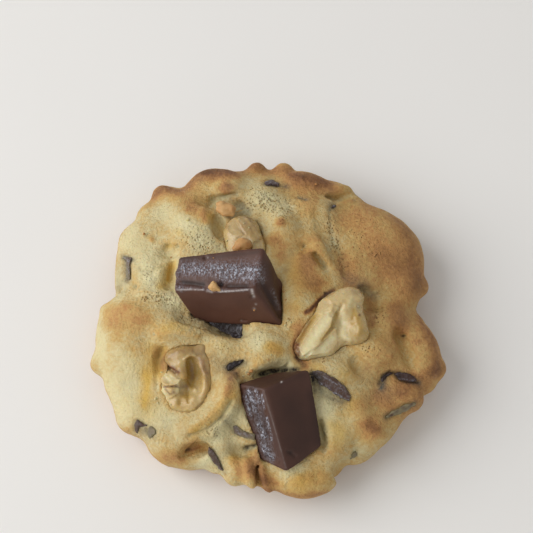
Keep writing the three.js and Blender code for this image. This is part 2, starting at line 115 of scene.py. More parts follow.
# Swells: centre x, y, half length, half width, turn in degrees, rise over the plain crown
SWELLS = {
    "left shoulder": (-30.5, 25, 12, 7, 52, 0.9),
    "tan slope": (-19.5, 33.5, 9, 6, 25, 0.8),
    "rear left lump": (-15, 40, 6.5, 5, 20, 1.6),
    "knotted lump": (-9.5, 38, 5, 5.5, 60, 2),
    "knot tip": (-8.5, 35.5, 3, 2.6, 10, 2.4),
    "orange ridge": (-17.2, 27.2, 8, 4.6, -12, 2.2),
    "pale crown at the rear": (-1.5, 32.5, 7.5, 8, 0, 1.4),
    "spongy shelf": (-17.5, 20.5, 7, 5, -25, 1.6),
    "left crumb lump": (-30.5, 13.5, 6.4, 7.5, 15, 1.6),
    "left rim knob": (-35.2, 25, 3.6, 4.2, 30, 1.2),
    "left rim roll": (-36.4, 15, 3.6, 6, 0, 0.6),
    "big left lump": (-33.5, -6, 9.5, 12.5, 8, 2.4),
    "big left brow": (-29.5, 0.5, 9, 6, -14, 2.2),
    "porous crest": (-27, 6, 6.5, 2.8, -20, 1),
    "yellow wall": (-21.6, -4.6, 7, 3, 2, 2.6),
    "pale cushion": (-10.5, -9.6, 5.4, 5.4, 20, 1.6),
    "centre lump": (-0.4, -9.6, 7.6, 7.4, 0, 2.6),
    "pale left rim": (-34.6, -16.6, 6, 9, 20, 0.6),
    "low left tip": (-31.8, -23.8, 5, 5, 30, 1),
    "lower left lump": (-24, -28.8, 8, 5.4, -38, 1.6),
    "low pale crumb": (-14.2, -30.2, 4.6, 3.2, 10, 1),
    "bottom pale lobe": (-14.6, -32.8, 5.4, 3.8, -12, 0.8),
    "bottom orange lobe": (-8.6, -36.2, 3.4, 5.6, 8, 1.6),
    "first fold": (-3.9, -38.2, 2.2, 4.6, 8, 2),
    "second fold": (-0.2, -39.2, 1.8, 4.2, 12, 1.4),
    "ridge by the chunk": (8, 5, 5, 9.5, 8, 2),
    "orange bump": (4.2, 24.6, 4, 6, 10, 2.4),
    "broad orange ridge": (10.8, 12.6, 5.5, 7, -20, 1.6),
    "tan between": (13.4, 18.4, 4.2, 4.6, 0, 1.2),
    "upper middle": (12, 29, 7, 6, 0, 1),
    "rear brown lump": (9.8, 39.4, 7, 4.6, -14, 1.6),
    "rear right flank": (20, 35.5, 6, 4, -35, 0.5),
    "right lobe": (29.5, 23, 14, 9.5, -42, 2),
    "right lobe below": (34, 11.5, 6.5, 8, 0, 1.4),
    "right tan slope": (30.5, -0.6, 6, 6, 0, 1),
    "spongy right lump": (27, -9.4, 5.4, 5, 0, 1.8),
    "below the nut": (15.6, -14.4, 7, 4, -12, 1.2),
    "right rim lump": (39, -6.8, 5.5, 8, 12, 2.2),
    "chocolate bump": (33.4, -18.4, 6.6, 4.6, -16, 2),
    "lower right flank": (29.8, -22, 5, 4.4, -38, 0.6),
    "brown lump": (26.4, -27.6, 4.4, 4.4, 0, 2.4),
    "brown lump inside": (22.6, -25, 3.6, 3.8, 0, 1.8),
    "yellow right": (17.6, -25.4, 4, 7, 12, 1),
    "pale knob": (22.4, -32.2, 4.6, 3.2, 15, 0.8),
    "front slope": (14.6, -33.8, 5.6, 3.6, 18, 1),
    "bottom lobe": (9.6, -39.4, 8.4, 5, 0, 1.2),
}

# The rounded roll of dough along the lower right of the left walnut
ROLL_PATH = [(-8.8, -18), (-9.8, -22.4), (-12.6, -26), (-16.4, -28.2), (-20, -29)]
ROLL_RADIUS = 2.5
ROLL_RISE = 2.6
ROLL_POINTS = 9

# Knobs standing out of the rim: centre x, y, z and radius
RIM_KNOBS = [
    (-2.7, 46.2, 9, 2.2),
    (4.4, 45.2, 10, 2.6),
    (43.6, -10.6, 8, 2.6),
    (40.4, 12.2, 8.4, 2.2),
    (-42.9, -9, 8, 2.6),
]

# Hollows pressed in: centre x, y, half length, half width, turn, depth
HOLLOWS = {
    "left notch": (-41.5, 9.4, 4, 2.2, 10, 4.5),
    "yellow hollow": (-25.6, 18.6, 2.6, 1.8, -20, 2.2),
    "beside the chunk": (-24.8, 11.4, 1.8, 4, 0, 2.4),
    "rear crevice": (-12.6, 32.4, 6, 2, -12, 2.2),
    "foot of the orange ridge": (-12.4, 24.6, 1.8, 3.6, 12, 2.6),
    "olive slope": (-18.4, 0.2, 4.6, 3.6, -20, 1.8),
    "pit under the chunk": (-10.2, -2.6, 6.6, 3, -16, 4.6),
    "under the roll": (-17.8, -33.4, 4.2, 2, 24, 2.4),
    "low dark hollow": (-6.6, -34, 3, 1.6, -14, 2.6),
    "groove of the folds": (-2.2, -38.8, 0.9, 5, 10, 1.6),
    "right of the lower chunk": (13.6, -30.6, 1.4, 4.4, 8, 2.6),
    "pore valley": (17.2, 20.6, 2.6, 10, 24, 1),
    "inner dent": (9.6, 18.6, 2, 1.6, 30, 1.2),
    "outer dent": (13.8, 14.6, 1.2, 3, 38, 1.2),
    "hollow by the nut": (26.4, 5.2, 4, 3, -40, 2),
    "dimple": (22.8, -12.8, 1.6, 2.2, 20, 1.6),
    "right hole": (33.8, -4.2, 1.6, 2, 30, 2.8),
    "right crease": (35.6, -9, 1.4, 4.8, 24, 1.8),
    "fold in the rim": (19.6, 36, 4.6, 1.4, 14, 1.8),
    "front notch": (19, -37.4, 2.4, 3, -40, 5),
    "gap behind the chunk": (1, -14.6, 5, 1.8, 22, 3.4),
}


def soft_min(a, b, blend):
    """The smaller of two distances, rounded over where they meet."""
    h = np.maximum(blend - np.abs(a - b), 0) / blend
    return np.minimum(a, b) - h * h * blend / 4


def soft_max(a, b, blend):
    """The larger of two distances, rounded over where they meet."""
    return -soft_min(-a, -b, blend)


def outline_radius(angle):
    """Radius of the outline at the widest level, for angles in radians."""
    turn = np.degrees(angle)
    radius = MEAN_RADIUS + REAR_STRETCH * np.cos(np.radians(turn - REAR_ANGLE))
    for centre, spread, amount in OUTLINE_LOBES + OUTLINE_TOUCHES:
        off = (turn - centre + 180) % 360 - 180
        radius = radius + amount * np.exp(-((off / spread) ** 2))
    return radius


def crown_height(x, y):
    """Height of the plain crown over a place of the plan."""
    reach = np.minimum(np.hypot(x, y) / outline_radius(np.arctan2(y, x)), 1)
    lift = (1 - reach**SIDE_POWER) ** (1 / CROWN_POWER)
    return WIDEST_LEVEL + (CROWN_HEIGHT - WIDEST_LEVEL) * lift


def loaf_distance(x, y, z):
    """Distance to the plain loaf, negative inside."""
    radius = outline_radius(np.arctan2(y, x))
    reach = np.hypot(x, y) / radius
    upper = z > WIDEST_LEVEL
    span = np.where(upper, CROWN_HEIGHT - WIDEST_LEVEL, UNDERCUT)
    power = np.where(upper, CROWN_POWER, UNDERCUT_POWER)
    level = np.abs(z - WIDEST_LEVEL) / span
    value = reach**SIDE_POWER + level**power - 1
    slope_out = SIDE_POWER * reach ** (SIDE_POWER - 1) / radius
    slope_up = power * np.maximum(level, 1e-9) ** (power - 1) / span
    slope = np.maximum(np.hypot(slope_out, slope_up), LEAST_SLOPE)
    return np.maximum(value / slope, DEEPEST)


def ellipsoid_distance(x, y, z, centre, half, turn):
    """Distance to an ellipsoid turned about the vertical, negative inside."""
    c = math.cos(turn)
    s = math.sin(turn)
    dx = x - centre[0]
    dy = y - centre[1]
    along = c * dx + s * dy
    aside = c * dy - s * dx
    up = z - centre[2]
    near = np.sqrt((along / half[0]) ** 2 + (aside / half[1]) ** 2 + (up / half[2]) ** 2)
    steep = np.sqrt(
        (along / half[0] ** 2) ** 2 + (aside / half[1] ** 2) ** 2 + (up / half[2] ** 2) ** 2
    )
    steep = np.maximum(steep, 1e-6)
    return np.where(near < 1e-4, -min(half), near * (near - 1) / steep)


def roll_centres():
    """Evenly spread places on a smooth curve along the roll."""
    path = np.array(ROLL_PATH, float)
    ends = np.vstack([2 * path[0] - path[1], path, 2 * path[-1] - path[-2]])
    dense = []
    for i in range(1, len(ends) - 2):
        a, b, c, d = ends[i - 1 : i + 3]
        for t in np.linspace(0, 1, 12, endpoint=False):
            turn = (c - a) * t + (2 * a - 5 * b + 4 * c - d) * t**2
            dense.append(b + 0.5 * (turn + (3 * b - a - 3 * c + d) * t**3))
    dense = np.array(dense + [path[-1]])
    run = np.concatenate([[0], np.cumsum(np.linalg.norm(np.diff(dense, axis=0), axis=1))])
    marks = np.linspace(0, run[-1], ROLL_POINTS + 1)
    return [(np.interp(m, run, dense[:, 0]), np.interp(m, run, dense[:, 1])) for m in marks]


def dough_forms():
    """Every rounded form of the dough: centre, half sizes, turn, blend, and if it is pressed in."""
    forms = []
    for x, y, a, b, turn, rise in SWELLS.values():
        deep = SWELL_DEPTH * min(a, b) + SWELL_ROOT
        top = crown_height(x, y) + rise
        forms.append(((x, y, top - deep), (a, b, deep), math.radians(turn), SWELL_BLEND, False))
    for x, y in roll_centres():
        level = crown_height(x, y) + ROLL_RISE - ROLL_RADIUS
        forms.append(((x, y, level), (ROLL_RADIUS,) * 3, 0, SWELL_BLEND, False))
    for x, y, z, r in RIM_KNOBS:
        forms.append(((x, y, z), (r, r, r), 0, SWELL_BLEND, False))
    for x, y, a, b, turn, depth in HOLLOWS.values():
        deep = max(depth, SHALLOWEST_HOLLOW)
        level = crown_height(x, y) - depth + deep
        forms.append(((x, y, level), (a, b, deep), math.radians(turn), HOLLOW_BLEND, True))
    return forms


DOUGH_FORMS = dough_forms()


def with_form(field, x, y, z, form):
    """The field with one more form swelled out of it or pressed into it."""
    centre, half, turn, blend, pressed = form
    away = ellipsoid_distance(x, y, z, centre, half, turn)
    if pressed:
        return soft_max(field, -away, blend)
    return soft_min(field, away, blend)


def dough_distance(points):
    """Distance from each point to the baked dough without its pockets."""
    x, y, z = points.T
    field = loaf_distance(x, y, z)
    for form in DOUGH_FORMS:
        field = with_form(field, x, y, z, form)
    return soft_max(field, -z, BASE_BLEND)


# Places in the photograph's frame

def photo_pixels(points):
    """Where each point shows in the photograph's frame."""
    away = points - CAMERA_PLACE
    depth = away @ AHEAD
    middle = PHOTO_SIDE / 2
    side = middle + FOCAL_PIXELS * (away @ ACROSS) / depth
    down = middle - FOCAL_PIXELS * (away @ UPWARD) / depth
    return np.stack([side, down], 1)


def photo_ray(pixel):
    """Direction from the camera through a place in the photograph's frame."""
    middle = PHOTO_SIDE / 2
    side = (pixel[0] - middle) / FOCAL_PIXELS
    down = (pixel[1] - middle) / FOCAL_PIXELS
    ray = AHEAD + side * ACROSS - down * UPWARD
    return ray / np.linalg.norm(ray)


def spot_at(pixel, level):
    """The place at a level that shows at a place in the photograph's frame."""
    ray = photo_ray(pixel)
    return CAMERA_PLACE + ray * (level - CAMERA_PLACE[2]) / ray[2]


def polygon_reach(pixels, corners):
    """Distance to a polygon's edge in the photograph's frame, negative inside."""
    corners = np.array(corners, float)
    away = np.full(len(pixels), np.inf)
    inside = np.zeros(len(pixels), bool)
    for start, end in zip(corners, np.roll(corners, -1, axis=0)):
        along = end - start
        part = np.clip((pixels - start) @ along / (along @ along), 0, 1)
        away = np.minimum(away, np.linalg.norm(pixels - start - part[:, None] * along, axis=1))
        crosses = (start[1] > pixels[:, 1]) != (end[1] > pixels[:, 1])
        slope = along[0] / (along[1] if abs(along[1]) > 1e-6 else 1e-6)
        inside ^= crosses & (pixels[:, 0] < start[0] + (pixels[:, 1] - start[1]) * slope)
    return np.where(inside, -away, away)


def stroke(pixels, path, width):
    """1 along a path drawn in the photograph's frame, fading out about its width away."""
    path = np.array(path, float)
    starts = path[:-1] if len(path) > 1 else path
    ends = path[1:] if len(path) > 1 else path
    away = np.full(len(pixels), np.inf)
    for start, end in zip(starts, ends):
        along = end - start
        part = np.clip((pixels - start) @ along / max(along @ along, 1e-9), 0, 1)
        away = np.minimum(away, np.linalg.norm(pixels - start - part[:, None] * along, axis=1))
    return np.exp(-((away / width) ** 2))


def drawn(pixels, strokes):
    """Sum of named strokes: each is its width, its amount and its path."""
    total = np.zeros(len(pixels))
    for width, amount, *path in strokes.values():
        total += amount * stroke(pixels, path, width)
    return total


def ramp(value, low, high):
    """0 below low, 1 above high and smooth between."""
    t = np.clip((value - low) / (high - low), 0, 1)
    return t * t * (3 - 2 * t)


def brushed(pixels, strokes, seen):
    """Named strokes painted on where the surface is seen, from 0 to 1."""
    return np.clip(drawn(pixels, strokes) * seen, 0, 1)


# Steady noise, the same on every run

def lattice_value(cell, seed):
    """A steady value from 0 to 1 for each whole cell."""
    cell = cell.astype(np.int64).astype(np.uint64)
    n = cell[..., 0] * np.uint64(73856093)
    n ^= cell[..., 1] * np.uint64(19349663)
    n ^= cell[..., 2] * np.uint64(83492791)
    n ^= np.uint64(seed * 2654435761)
    n = (n ^ (n >> np.uint64(15))) * np.uint64(2246822519)
    n &= np.uint64(0xFFFFFFFF)
    n = (n ^ (n >> np.uint64(13))) * np.uint64(3266489917)
    n &= np.uint64(0xFFFFFFFF)
    return (n ^ (n >> np.uint64(16))) / 4294967295.0


def smooth_noise(points, size, seed):
    """Smooth noise from -1 to 1 with lumps of a size."""
    spot = points / size
    base = np.floor(spot)
    part = spot - base
    part = part * part * (3 - 2 * part)
    total = np.zeros(len(points))
    for i in (0, 1):
        for j in (0, 1):
            for k in (0, 1):
                corner = np.array([i, j, k])
                weight = np.prod(np.where(corner, part, 1 - part), axis=1)
                total += weight * lattice_value(base + corner, seed)
    return 2 * total - 1


def layered_noise(points, layers, seed=0):
    """Sum of smooth noises: each is its size, its height and its own seed, added to the seed given."""
    return sum(height * smooth_noise(points, size, seed + own) for size, height, own in layers)


def cell_noise(points, size, seed):
    """Distance to the nearest scattered seed point, in cells of a size."""
    spot = points / size
    base = np.floor(spot)
    nearest = np.full(len(points), 9.0)
    for i in (-1, 0, 1):
        for j in (-1, 0, 1):
            for k in (-1, 0, 1):
                cell = base + (i, j, k)
                jitter = np.stack([lattice_value(cell, seed + n) for n in range(3)], 1)
                nearest = np.minimum(nearest, np.linalg.norm(cell + jitter - spot, axis=1))
    return nearest


# Meshes from fields

class Block:
    """A box of space that holds the distance to a surface at evenly spread places."""

    def __init__(self, low, high, step):
        self.low = np.array(low, float)
        self.step = step
        counts = [int(math.ceil((h - l) / step)) + 1 for l, h in zip(low, high)]
        self.axes = [l + step * np.arange(n) for l, n in zip(low, counts)]
        self.x = self.axes[0][:, None, None]
        self.y = self.axes[1][None, :, None]
        self.z = self.axes[2][None, None, :]
        self.field = None

    def around(self, centre, reach):
        """The part of the block within reach of a place, as slices."""
        part = []
        for axis, middle in zip(self.axes, centre):
            first, last = np.searchsorted(axis, (middle - reach, middle + reach))
            part.append(slice(first, last))
        return tuple(part)

    def places(self, part):
        """The coordinates of a part of the block."""
        return self.x[part[0]], self.y[:, part[1]], self.z[:, :, part[2]]

    def shape(self, make):
        """Fills the block from a function of points."""
        grids = np.broadcast_arrays(self.x, self.y, self.z)
        points = np.stack([g.ravel() for g in grids], 1)
        self.field = make(points).reshape(grids[0].shape)
        return self

    def skin(self):
        """Points and four-sided faces of the surface where the field is zero."""
        field = self.field
        inside = field < 0
        cells_wide = [n - 1 for n in field.shape]
        corners = [np.array([i, j, k]) for i in (0, 1) for j in (0, 1) for k in (0, 1)]
        count = np.zeros(cells_wide, np.int8)
        for i, j, k in corners:
            count += inside[i : i + cells_wide[0], j : j + cells_wide[1], k : k + cells_wide[2]]
        cells = np.argwhere((count > 0) & (count < 8))
        number = np.full(cells_wide, -1)
        number[tuple(cells.T)] = np.arange(len(cells))
        total = np.zeros((len(cells), 3))
        hits = np.zeros((len(cells), 1))
        for axis in range(3):
            for corner in corners:
                if corner[axis]:
                    continue
                start = cells + corner
                end = start.copy()
                end[:, axis] += 1
                a = field[tuple(start.T)]
                b = field[tuple(end.T)]
                crossed = (a < 0) != (b < 0)
                spot = start.astype(float)
                spot[:, axis] += a / np.where(crossed, a - b, 1)
                total[crossed] += spot[crossed]
                hits[crossed] += 1
        points = self.low + self.step * total / hits
        faces = []
        for axis in range(3):
            near = [slice(1, n) for n in cells_wide]
            near[axis] = slice(0, cells_wide[axis])
            far = list(near)
            far[axis] = slice(1, cells_wide[axis] + 1)
            leaving = inside[tuple(near)]
            edges = np.argwhere(leaving != inside[tuple(far)])
            leaving = leaving[tuple(edges.T)]
            edges += [int(i != axis) for i in range(3)]
            ring = []
            for back_u, back_v in ((1, 1), (0, 1), (0, 0), (1, 0)):
                cell = edges.copy()
                cell[:, (axis + 1) % 3] -= back_u
                cell[:, (axis + 2) % 3] -= back_v
                ring.append(number[tuple(cell.T)])
            quads = np.stack(ring, 1)
            quads[~leaving] = quads[~leaving][:, ::-1]
            faces.append(quads)
        return points, np.concatenate(faces)


def neighbour_mean(values, faces):
    """Mean of the values at the vertices next to each one."""
    count = len(values)
    ends = np.concatenate([faces[:, i] for i in range(4)])
    others = np.concatenate([faces[:, (i + 1) % 4] for i in range(4)])
    sums = [np.bincount(ends, values[others, i], count) for i in range(values.shape[1])]
    return np.stack(sums, 1) / np.maximum(np.bincount(ends, minlength=count), 1)[:, None]


def smoothed(values, faces, rounds):
    """The values evened out over a number of rounds."""
    for _ in range(rounds):
        values = 0.4 * values + 0.6 * neighbour_mean(values, faces)
    return values


def normals_of(points, faces):
    """Outward direction at each vertex."""
    p = points[faces]
    across = np.cross(p[:, 2] - p[:, 0], p[:, 3] - p[:, 1])
    spread = [np.bincount(faces.ravel(), np.repeat(across[:, i], 4), len(points)) for i in range(3)]
    normals = np.stack(spread, 1)
    return normals / np.maximum(np.linalg.norm(normals, axis=1), 1e-9)[:, None]


def shell(block, rounds):
    """The block's one largest skin, evened out, and the outward direction at each vertex."""
    points, faces = clean_faces(*block.skin())
    points = smoothed(points, faces, rounds)
    return points, faces, normals_of(points, faces)


def shown(points, normals):
    """1 where the surface faces the photograph's camera, 0 where it faces away."""
    towards = CAMERA_PLACE - points
    towards /= np.linalg.norm(towards, axis=1)[:, None]
    return ramp(np.sum(normals * towards, axis=1), 0.0, 0.3)


def make_piece(name, points, faces, paint, material, nodes=()):
    """A mesh piece that rides on the cookie, with its painted values at the vertices."""
    mesh = bpy.data.meshes.new(name)
    places = (points - PLAN_CENTRE) * MM
    mesh.vertices.add(len(places))
    mesh.vertices.foreach_set("co", places.astype(np.float32).ravel())
    mesh.loops.add(faces.size)
    mesh.loops.foreach_set("vertex_index", faces.astype(np.int32).ravel())
    mesh.polygons.add(len(faces))
    mesh.polygons.foreach_set("loop_start", np.arange(0, faces.size, faces.shape[1], dtype=np.int32))
    mesh.polygons.foreach_set("use_smooth", np.ones(len(faces), bool))
    mesh.update(calc_edges=True)
    for key, values in paint.items():
        layer = mesh.attributes.new(key, "FLOAT", "POINT")
        layer.data.foreach_set("value", values.astype(np.float32))
    mesh.validate()
    mesh.materials.append(material)
    piece = bpy.data.objects.new(name, mesh)
    bpy.context.scene.collection.objects.link(piece)
    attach(piece, "root")
    if nodes:
        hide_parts(*nodes)
    return piece


# Node helpers

def add_node(tree, kind, inputs=None, **settings):
    """A node with its settings, and its inputs set to values or linked to sockets."""
    node = tree.nodes.new(kind)
    for key, value in settings.items():
        setattr(node, key, value)
    for key, value in (inputs or {}).items():
        socket = node.inputs[key]
        if isinstance(value, bpy.types.NodeSocket):
            tree.links.new(value, socket)
        else:
            socket.default_value = value
    return node


def math_node(tree, operation, a, b=0.0, clamp=False):
    """The result of one sum."""
    node = add_node(tree, "ShaderNodeMath", {0: a, 1: b}, operation=operation, use_clamp=clamp)
    return node.outputs[0]


def scaled(tree, value, by, plus, clamp=False):
    """A value times a second one, plus a third."""
    inputs = {0: value, 1: by, 2: plus}
    node = add_node(tree, "ShaderNodeMath", inputs, operation="MULTIPLY_ADD", use_clamp=clamp)
    return node.outputs[0]


def mix_colour(tree, factor, a, b):
    """The colour between two others."""
    return add_node(tree, "ShaderNodeMix", {0: factor, 6: a, 7: b}, data_type="RGBA").outputs[2]


def colour_ramp(tree, value, stops):
    """A ramp of colours over a value: place and colour of each stop."""
    node = add_node(tree, "ShaderNodeValToRGB", {"Fac": value})
    elements = node.color_ramp.elements
    elements[0].position = stops[0][0]
    elements[0].color = stops[0][1]
    elements[1].position = stops[-1][0]
    elements[1].color = stops[-1][1]
    for place, colour in stops[1:-1]:
        elements.new(place).color = colour
    return node.outputs["Color"]


def linear(red, green, blue):
    """A screen colour in 0 to 255 as a light-linear one."""
    parts = [c / 255 for c in (red, green, blue)]
    return tuple(p / 12.92 if p <= 0.04045 else ((p + 0.055) / 1.055) ** 2.4 for p in parts) + (1.0,)


def painted(tree, name):
    """The value painted on the vertices under a name."""
    return add_node(tree, "ShaderNodeAttribute", attribute_name=name).outputs["Fac"]


def coated(tree, base, name, amount, colour):
    """The base colour with another laid over it where it is painted on the vertices."""
    cover = math_node(tree, "MULTIPLY", painted(tree, name), amount, clamp=True)
    return mix_colour(tree, cover, base, colour)


def new_group(name, inputs, outputs):
    """An empty node group with its named sockets: returns the tree, its input and its output node."""
    tree = bpy.data.node_groups.new(name, "ShaderNodeTree")
    for key, kind, value in inputs:
        socket = tree.interface.new_socket(key, in_out="INPUT", socket_type=kind)
        if value is not None:
            socket.default_value = value
    for key, kind in outputs:
        tree.interface.new_socket(key, in_out="OUTPUT", socket_type=kind)
    entry = tree.nodes.new("NodeGroupInput")
    leave = tree.nodes.new("NodeGroupOutput")
    return tree, entry, leave


def mottle_group():
    """Cloudy unevenness at two sizes, both from 0 to 1."""
    tree, entry, leave = new_group(
        "mottle",
        [("Vector", "NodeSocketVector", None), ("Size", "NodeSocketFloat", 1.0)],
        [("Broad", "NodeSocketFloat"), ("Fine", "NodeSocketFloat")],
    )
    fine_scale = math_node(tree, "MULTIPLY", entry.outputs["Size"], 4.3)
    broad = add_node(
        tree, "ShaderNodeTexNoise",
        {"Vector": entry.outputs["Vector"], "Scale": entry.outputs["Size"], "Detail": 3.0},
    )
    fine = add_node(
        tree, "ShaderNodeTexNoise",
        {"Vector": entry.outputs["Vector"], "Scale": fine_scale, "Detail": 4.0, "Roughness": 0.62},
    )
    tree.links.new(broad.outputs["Fac"], leave.inputs["Broad"])
    tree.links.new(fine.outputs["Fac"], leave.inputs["Fine"])
    return tree


def grain_group():
    """Baked crumb seen close: a granular height, and a mask of small open pores."""
    tree, entry, leave = new_group(
        "baked grain",
        [
            ("Vector", "NodeSocketVector", None),
            ("Grains", "NodeSocketFloat", 1500.0),
            ("Pores", "NodeSocketFloat", 900.0),
            ("Openness", "NodeSocketFloat", 0.5),
        ],
        [("Height", "NodeSocketFloat"), ("Pore mask", "NodeSocketFloat")],
    )
    vector = entry.outputs["Vector"]
    grains = add_node(
        tree, "ShaderNodeTexNoise",
        {"Vector": vector, "Scale": entry.outputs["Grains"], "Detail": 4.0, "Roughness": 0.65},
    )
    cells = add_node(
        tree, "ShaderNodeTexVoronoi",
        {"Vector": vector, "Scale": entry.outputs["Pores"], "Randomness": 1.0},
    )
    rarity = add_node(tree, "ShaderNodeTexNoise", {"Vector": vector, "Scale": 420.0, "Detail": 2.0})
    reach = math_node(tree, "MULTIPLY", entry.outputs["Openness"], rarity.outputs["Fac"])
    gap = math_node(tree, "SUBTRACT", reach, cells.outputs["Distance"])
    mask = math_node(tree, "MULTIPLY", gap, 4.5, clamp=True)
    dip = math_node(tree, "MULTIPLY", mask, -0.5)
    height = math_node(tree, "ADD", grains.outputs["Fac"], dip)
    tree.links.new(height, leave.inputs["Height"])
    tree.links.new(mask, leave.inputs["Pore mask"])
    return tree


def snapped_group():
    """The torn skin of snapped chocolate: fine grains drawn out across the break."""
    tree, entry, leave = new_group(
        "snapped face", [("Vector", "NodeSocketVector", None)], [("Grain", "NodeSocketFloat")]
    )
    drawn_out = add_node(
        tree, "ShaderNodeVectorMath",
        {0: entry.outputs["Vector"], 1: (1.0, 0.75, 0.9)}, operation="MULTIPLY",
    )
    grains = add_node(
        tree, "ShaderNodeTexNoise",
        {
            "Vector": drawn_out.outputs[0], "Scale": 2100.0, "Detail": 3.0,
            "Roughness": 0.6, "Distortion": 0.8,
        },
    )
    sharp = math_node(tree, "SUBTRACT", grains.outputs["Fac"], 0.5)
    sharp = scaled(tree, sharp, 7.0, 0.42, clamp=True)
    tree.links.new(sharp, leave.inputs["Grain"])
    return tree


MOTTLE = mottle_group()
GRAIN = grain_group()
SNAPPED = snapped_group()


def place_group(tree, group, **inputs):
    """A node that holds a group, with its inputs set; underscores stand for spaces."""
    named = {key.replace("_", " "): value for key, value in inputs.items()}
    return add_node(tree, "ShaderNodeGroup", named, node_tree=group)


def new_material(name):
    """A material with its tree, its shader and the object's own coordinates."""
    material = bpy.data.materials.new(name)
    material.use_nodes = True
    tree = material.node_tree
    shader = tree.nodes["Principled BSDF"]
    spots = add_node(tree, "ShaderNodeTexCoord").outputs["Object"]
    return material, tree, shader, spots


def bump(tree, shader, height, strength, distance):
    """Feeds a height to the shader's normal."""
    inputs = {"Height": height, "Strength": strength, "Distance": distance}
    node = add_node(tree, "ShaderNodeBump", inputs)
    tree.links.new(node.outputs["Normal"], shader.inputs["Normal"])


def surface(tree, shader, colour, rough, specular):
    """Sets the colour, the roughness and the gloss of a surface."""
    tree.links.new(colour, shader.inputs["Base Color"])
    tree.links.new(rough, shader.inputs["Roughness"])
    shader.inputs["Specular IOR Level"].default_value = specular


def let_light_in(shader, weight, radius, depth):
    """Lets light spread under a surface: its share, its reach by colour and its depth."""
    shader.inputs["Subsurface Weight"].default_value = weight
    shader.inputs["Subsurface Radius"].default_value = radius
    shader.inputs["Subsurface Scale"].default_value = depth


PALE_CRUMB = linear(225, 214, 168)
CREAM_CRUMB = linear(215, 199, 150)
GOLDEN = linear(204, 169, 106)
TAN = linear(188, 140, 85)
BROWN = linear(152, 106, 66)
DARK_BROWN = linear(112, 73, 48)
BUTTER = linear(215, 176, 86)
# Grey-olive of chocolate stains on the dough, also laid on as painted shade in hollows
STAIN_AND_SHADE = linear(100, 97, 86)
# Darker gold painted into the small open pores as shade
PORE_SHADE = linear(132, 102, 48)
# Near black: painted shade in creases and pits, also used for smears of chocolate
CREVICE_SHADE_AND_SMEAR_COLOUR = linear(36, 28, 25)


def baked_material():
    """Dough baked from pale crumb to brown crust, with grain, chocolate stains, and painted shade in
    hollows, creases and pores.
    """
    material, tree, shader, spots = new_material("baked_dough")
    mottle = place_group(tree, MOTTLE, Vector=spots, Size=170.0)
    openness = scaled(tree, painted(tree, "sponge"), 0.62, 0.3)
    grain = place_group(tree, GRAIN, Vector=spots, Grains=1250.0, Pores=1500.0, Openness=openness)
    broad = math_node(tree, "SUBTRACT", mottle.outputs["Broad"], 0.5)
    fine = math_node(tree, "SUBTRACT", mottle.outputs["Fine"], 0.5)
    dark_grain = math_node(tree, "SUBTRACT", 0.5, grain.outputs["Height"])
    toast = math_node(tree, "ADD", painted(tree, "browning"), math_node(tree, "MULTIPLY", broad, 0.3))
    toast = math_node(tree, "ADD", toast, math_node(tree, "MULTIPLY", fine, 0.28))
    toast = math_node(tree, "ADD", toast, math_node(tree, "MULTIPLY", dark_grain, 0.42), clamp=True)
    crust = colour_ramp(
        tree, toast,
        [
            (0.0, PALE_CRUMB), (0.25, CREAM_CRUMB), (0.45, GOLDEN),
            (0.62, TAN), (0.82, BROWN), (1.0, DARK_BROWN),
        ],
    )
    butter = scaled(tree, broad, 0.5, painted(tree, "butter"))
    butter = math_node(tree, "MULTIPLY", butter, 0.9, clamp=True)
    crust = mix_colour(tree, butter, crust, BUTTER)
    # Painted shade in the small open pores
    pore_shade = math_node(tree, "MULTIPLY", grain.outputs["Pore mask"], 0.4)
    crust = mix_colour(tree, pore_shade, crust, PORE_SHADE)
    ragged = scaled(tree, fine, 2.2, 1.0)
    # Chocolate stains, and painted shade in hollows, in grey-olive
    stain_and_shade = math_node(tree, "MULTIPLY", painted(tree, "stain_and_shade"), ragged)
    stain_and_shade = math_node(tree, "MULTIPLY", stain_and_shade, 0.85, clamp=True)
    crust = mix_colour(tree, stain_and_shade, crust, STAIN_AND_SHADE)
    # Painted shade in creases and pits, near black, with smears of chocolate
    crevice_shade_and_smear = math_node(tree, "MULTIPLY", painted(tree, "crevice_shade_and_smear"), ragged)
    crevice_shade_and_smear = math_node(tree, "MULTIPLY", crevice_shade_and_smear, 0.95, clamp=True)
    crust = mix_colour(tree, crevice_shade_and_smear, crust, CREVICE_SHADE_AND_SMEAR_COLOUR)
    surface(tree, shader, crust, scaled(tree, mottle.outputs["Fine"], 0.3, 0.48), 0.3)
    let_light_in(shader, 0.1, (1.0, 0.55, 0.25), 0.6 * MM)
    bump(tree, shader, grain.outputs["Height"], 1.0, 0.7 * MM)
    return material


CHOCOLATE = linear(96, 63, 50)
CHOCOLATE_DARK = linear(71, 46, 38)
# Near black: painted shade on the chunks, and the darkest chocolate of the shards
CHOCOLATE_SHADE_AND_BLACK = linear(27, 18, 16)
# Grey of sugar bloom on the snapped faces, also the colour of their painted sheen and glints
BLOOM_AND_GLINT = linear(180, 182, 194)
# Pale scuffs on the chocolate, also the colour of the painted highlight along its lit edges
SCUFF_AND_HIGHLIGHT = linear(206, 200, 196)
DOUGH_FILM = linear(134, 124, 94)


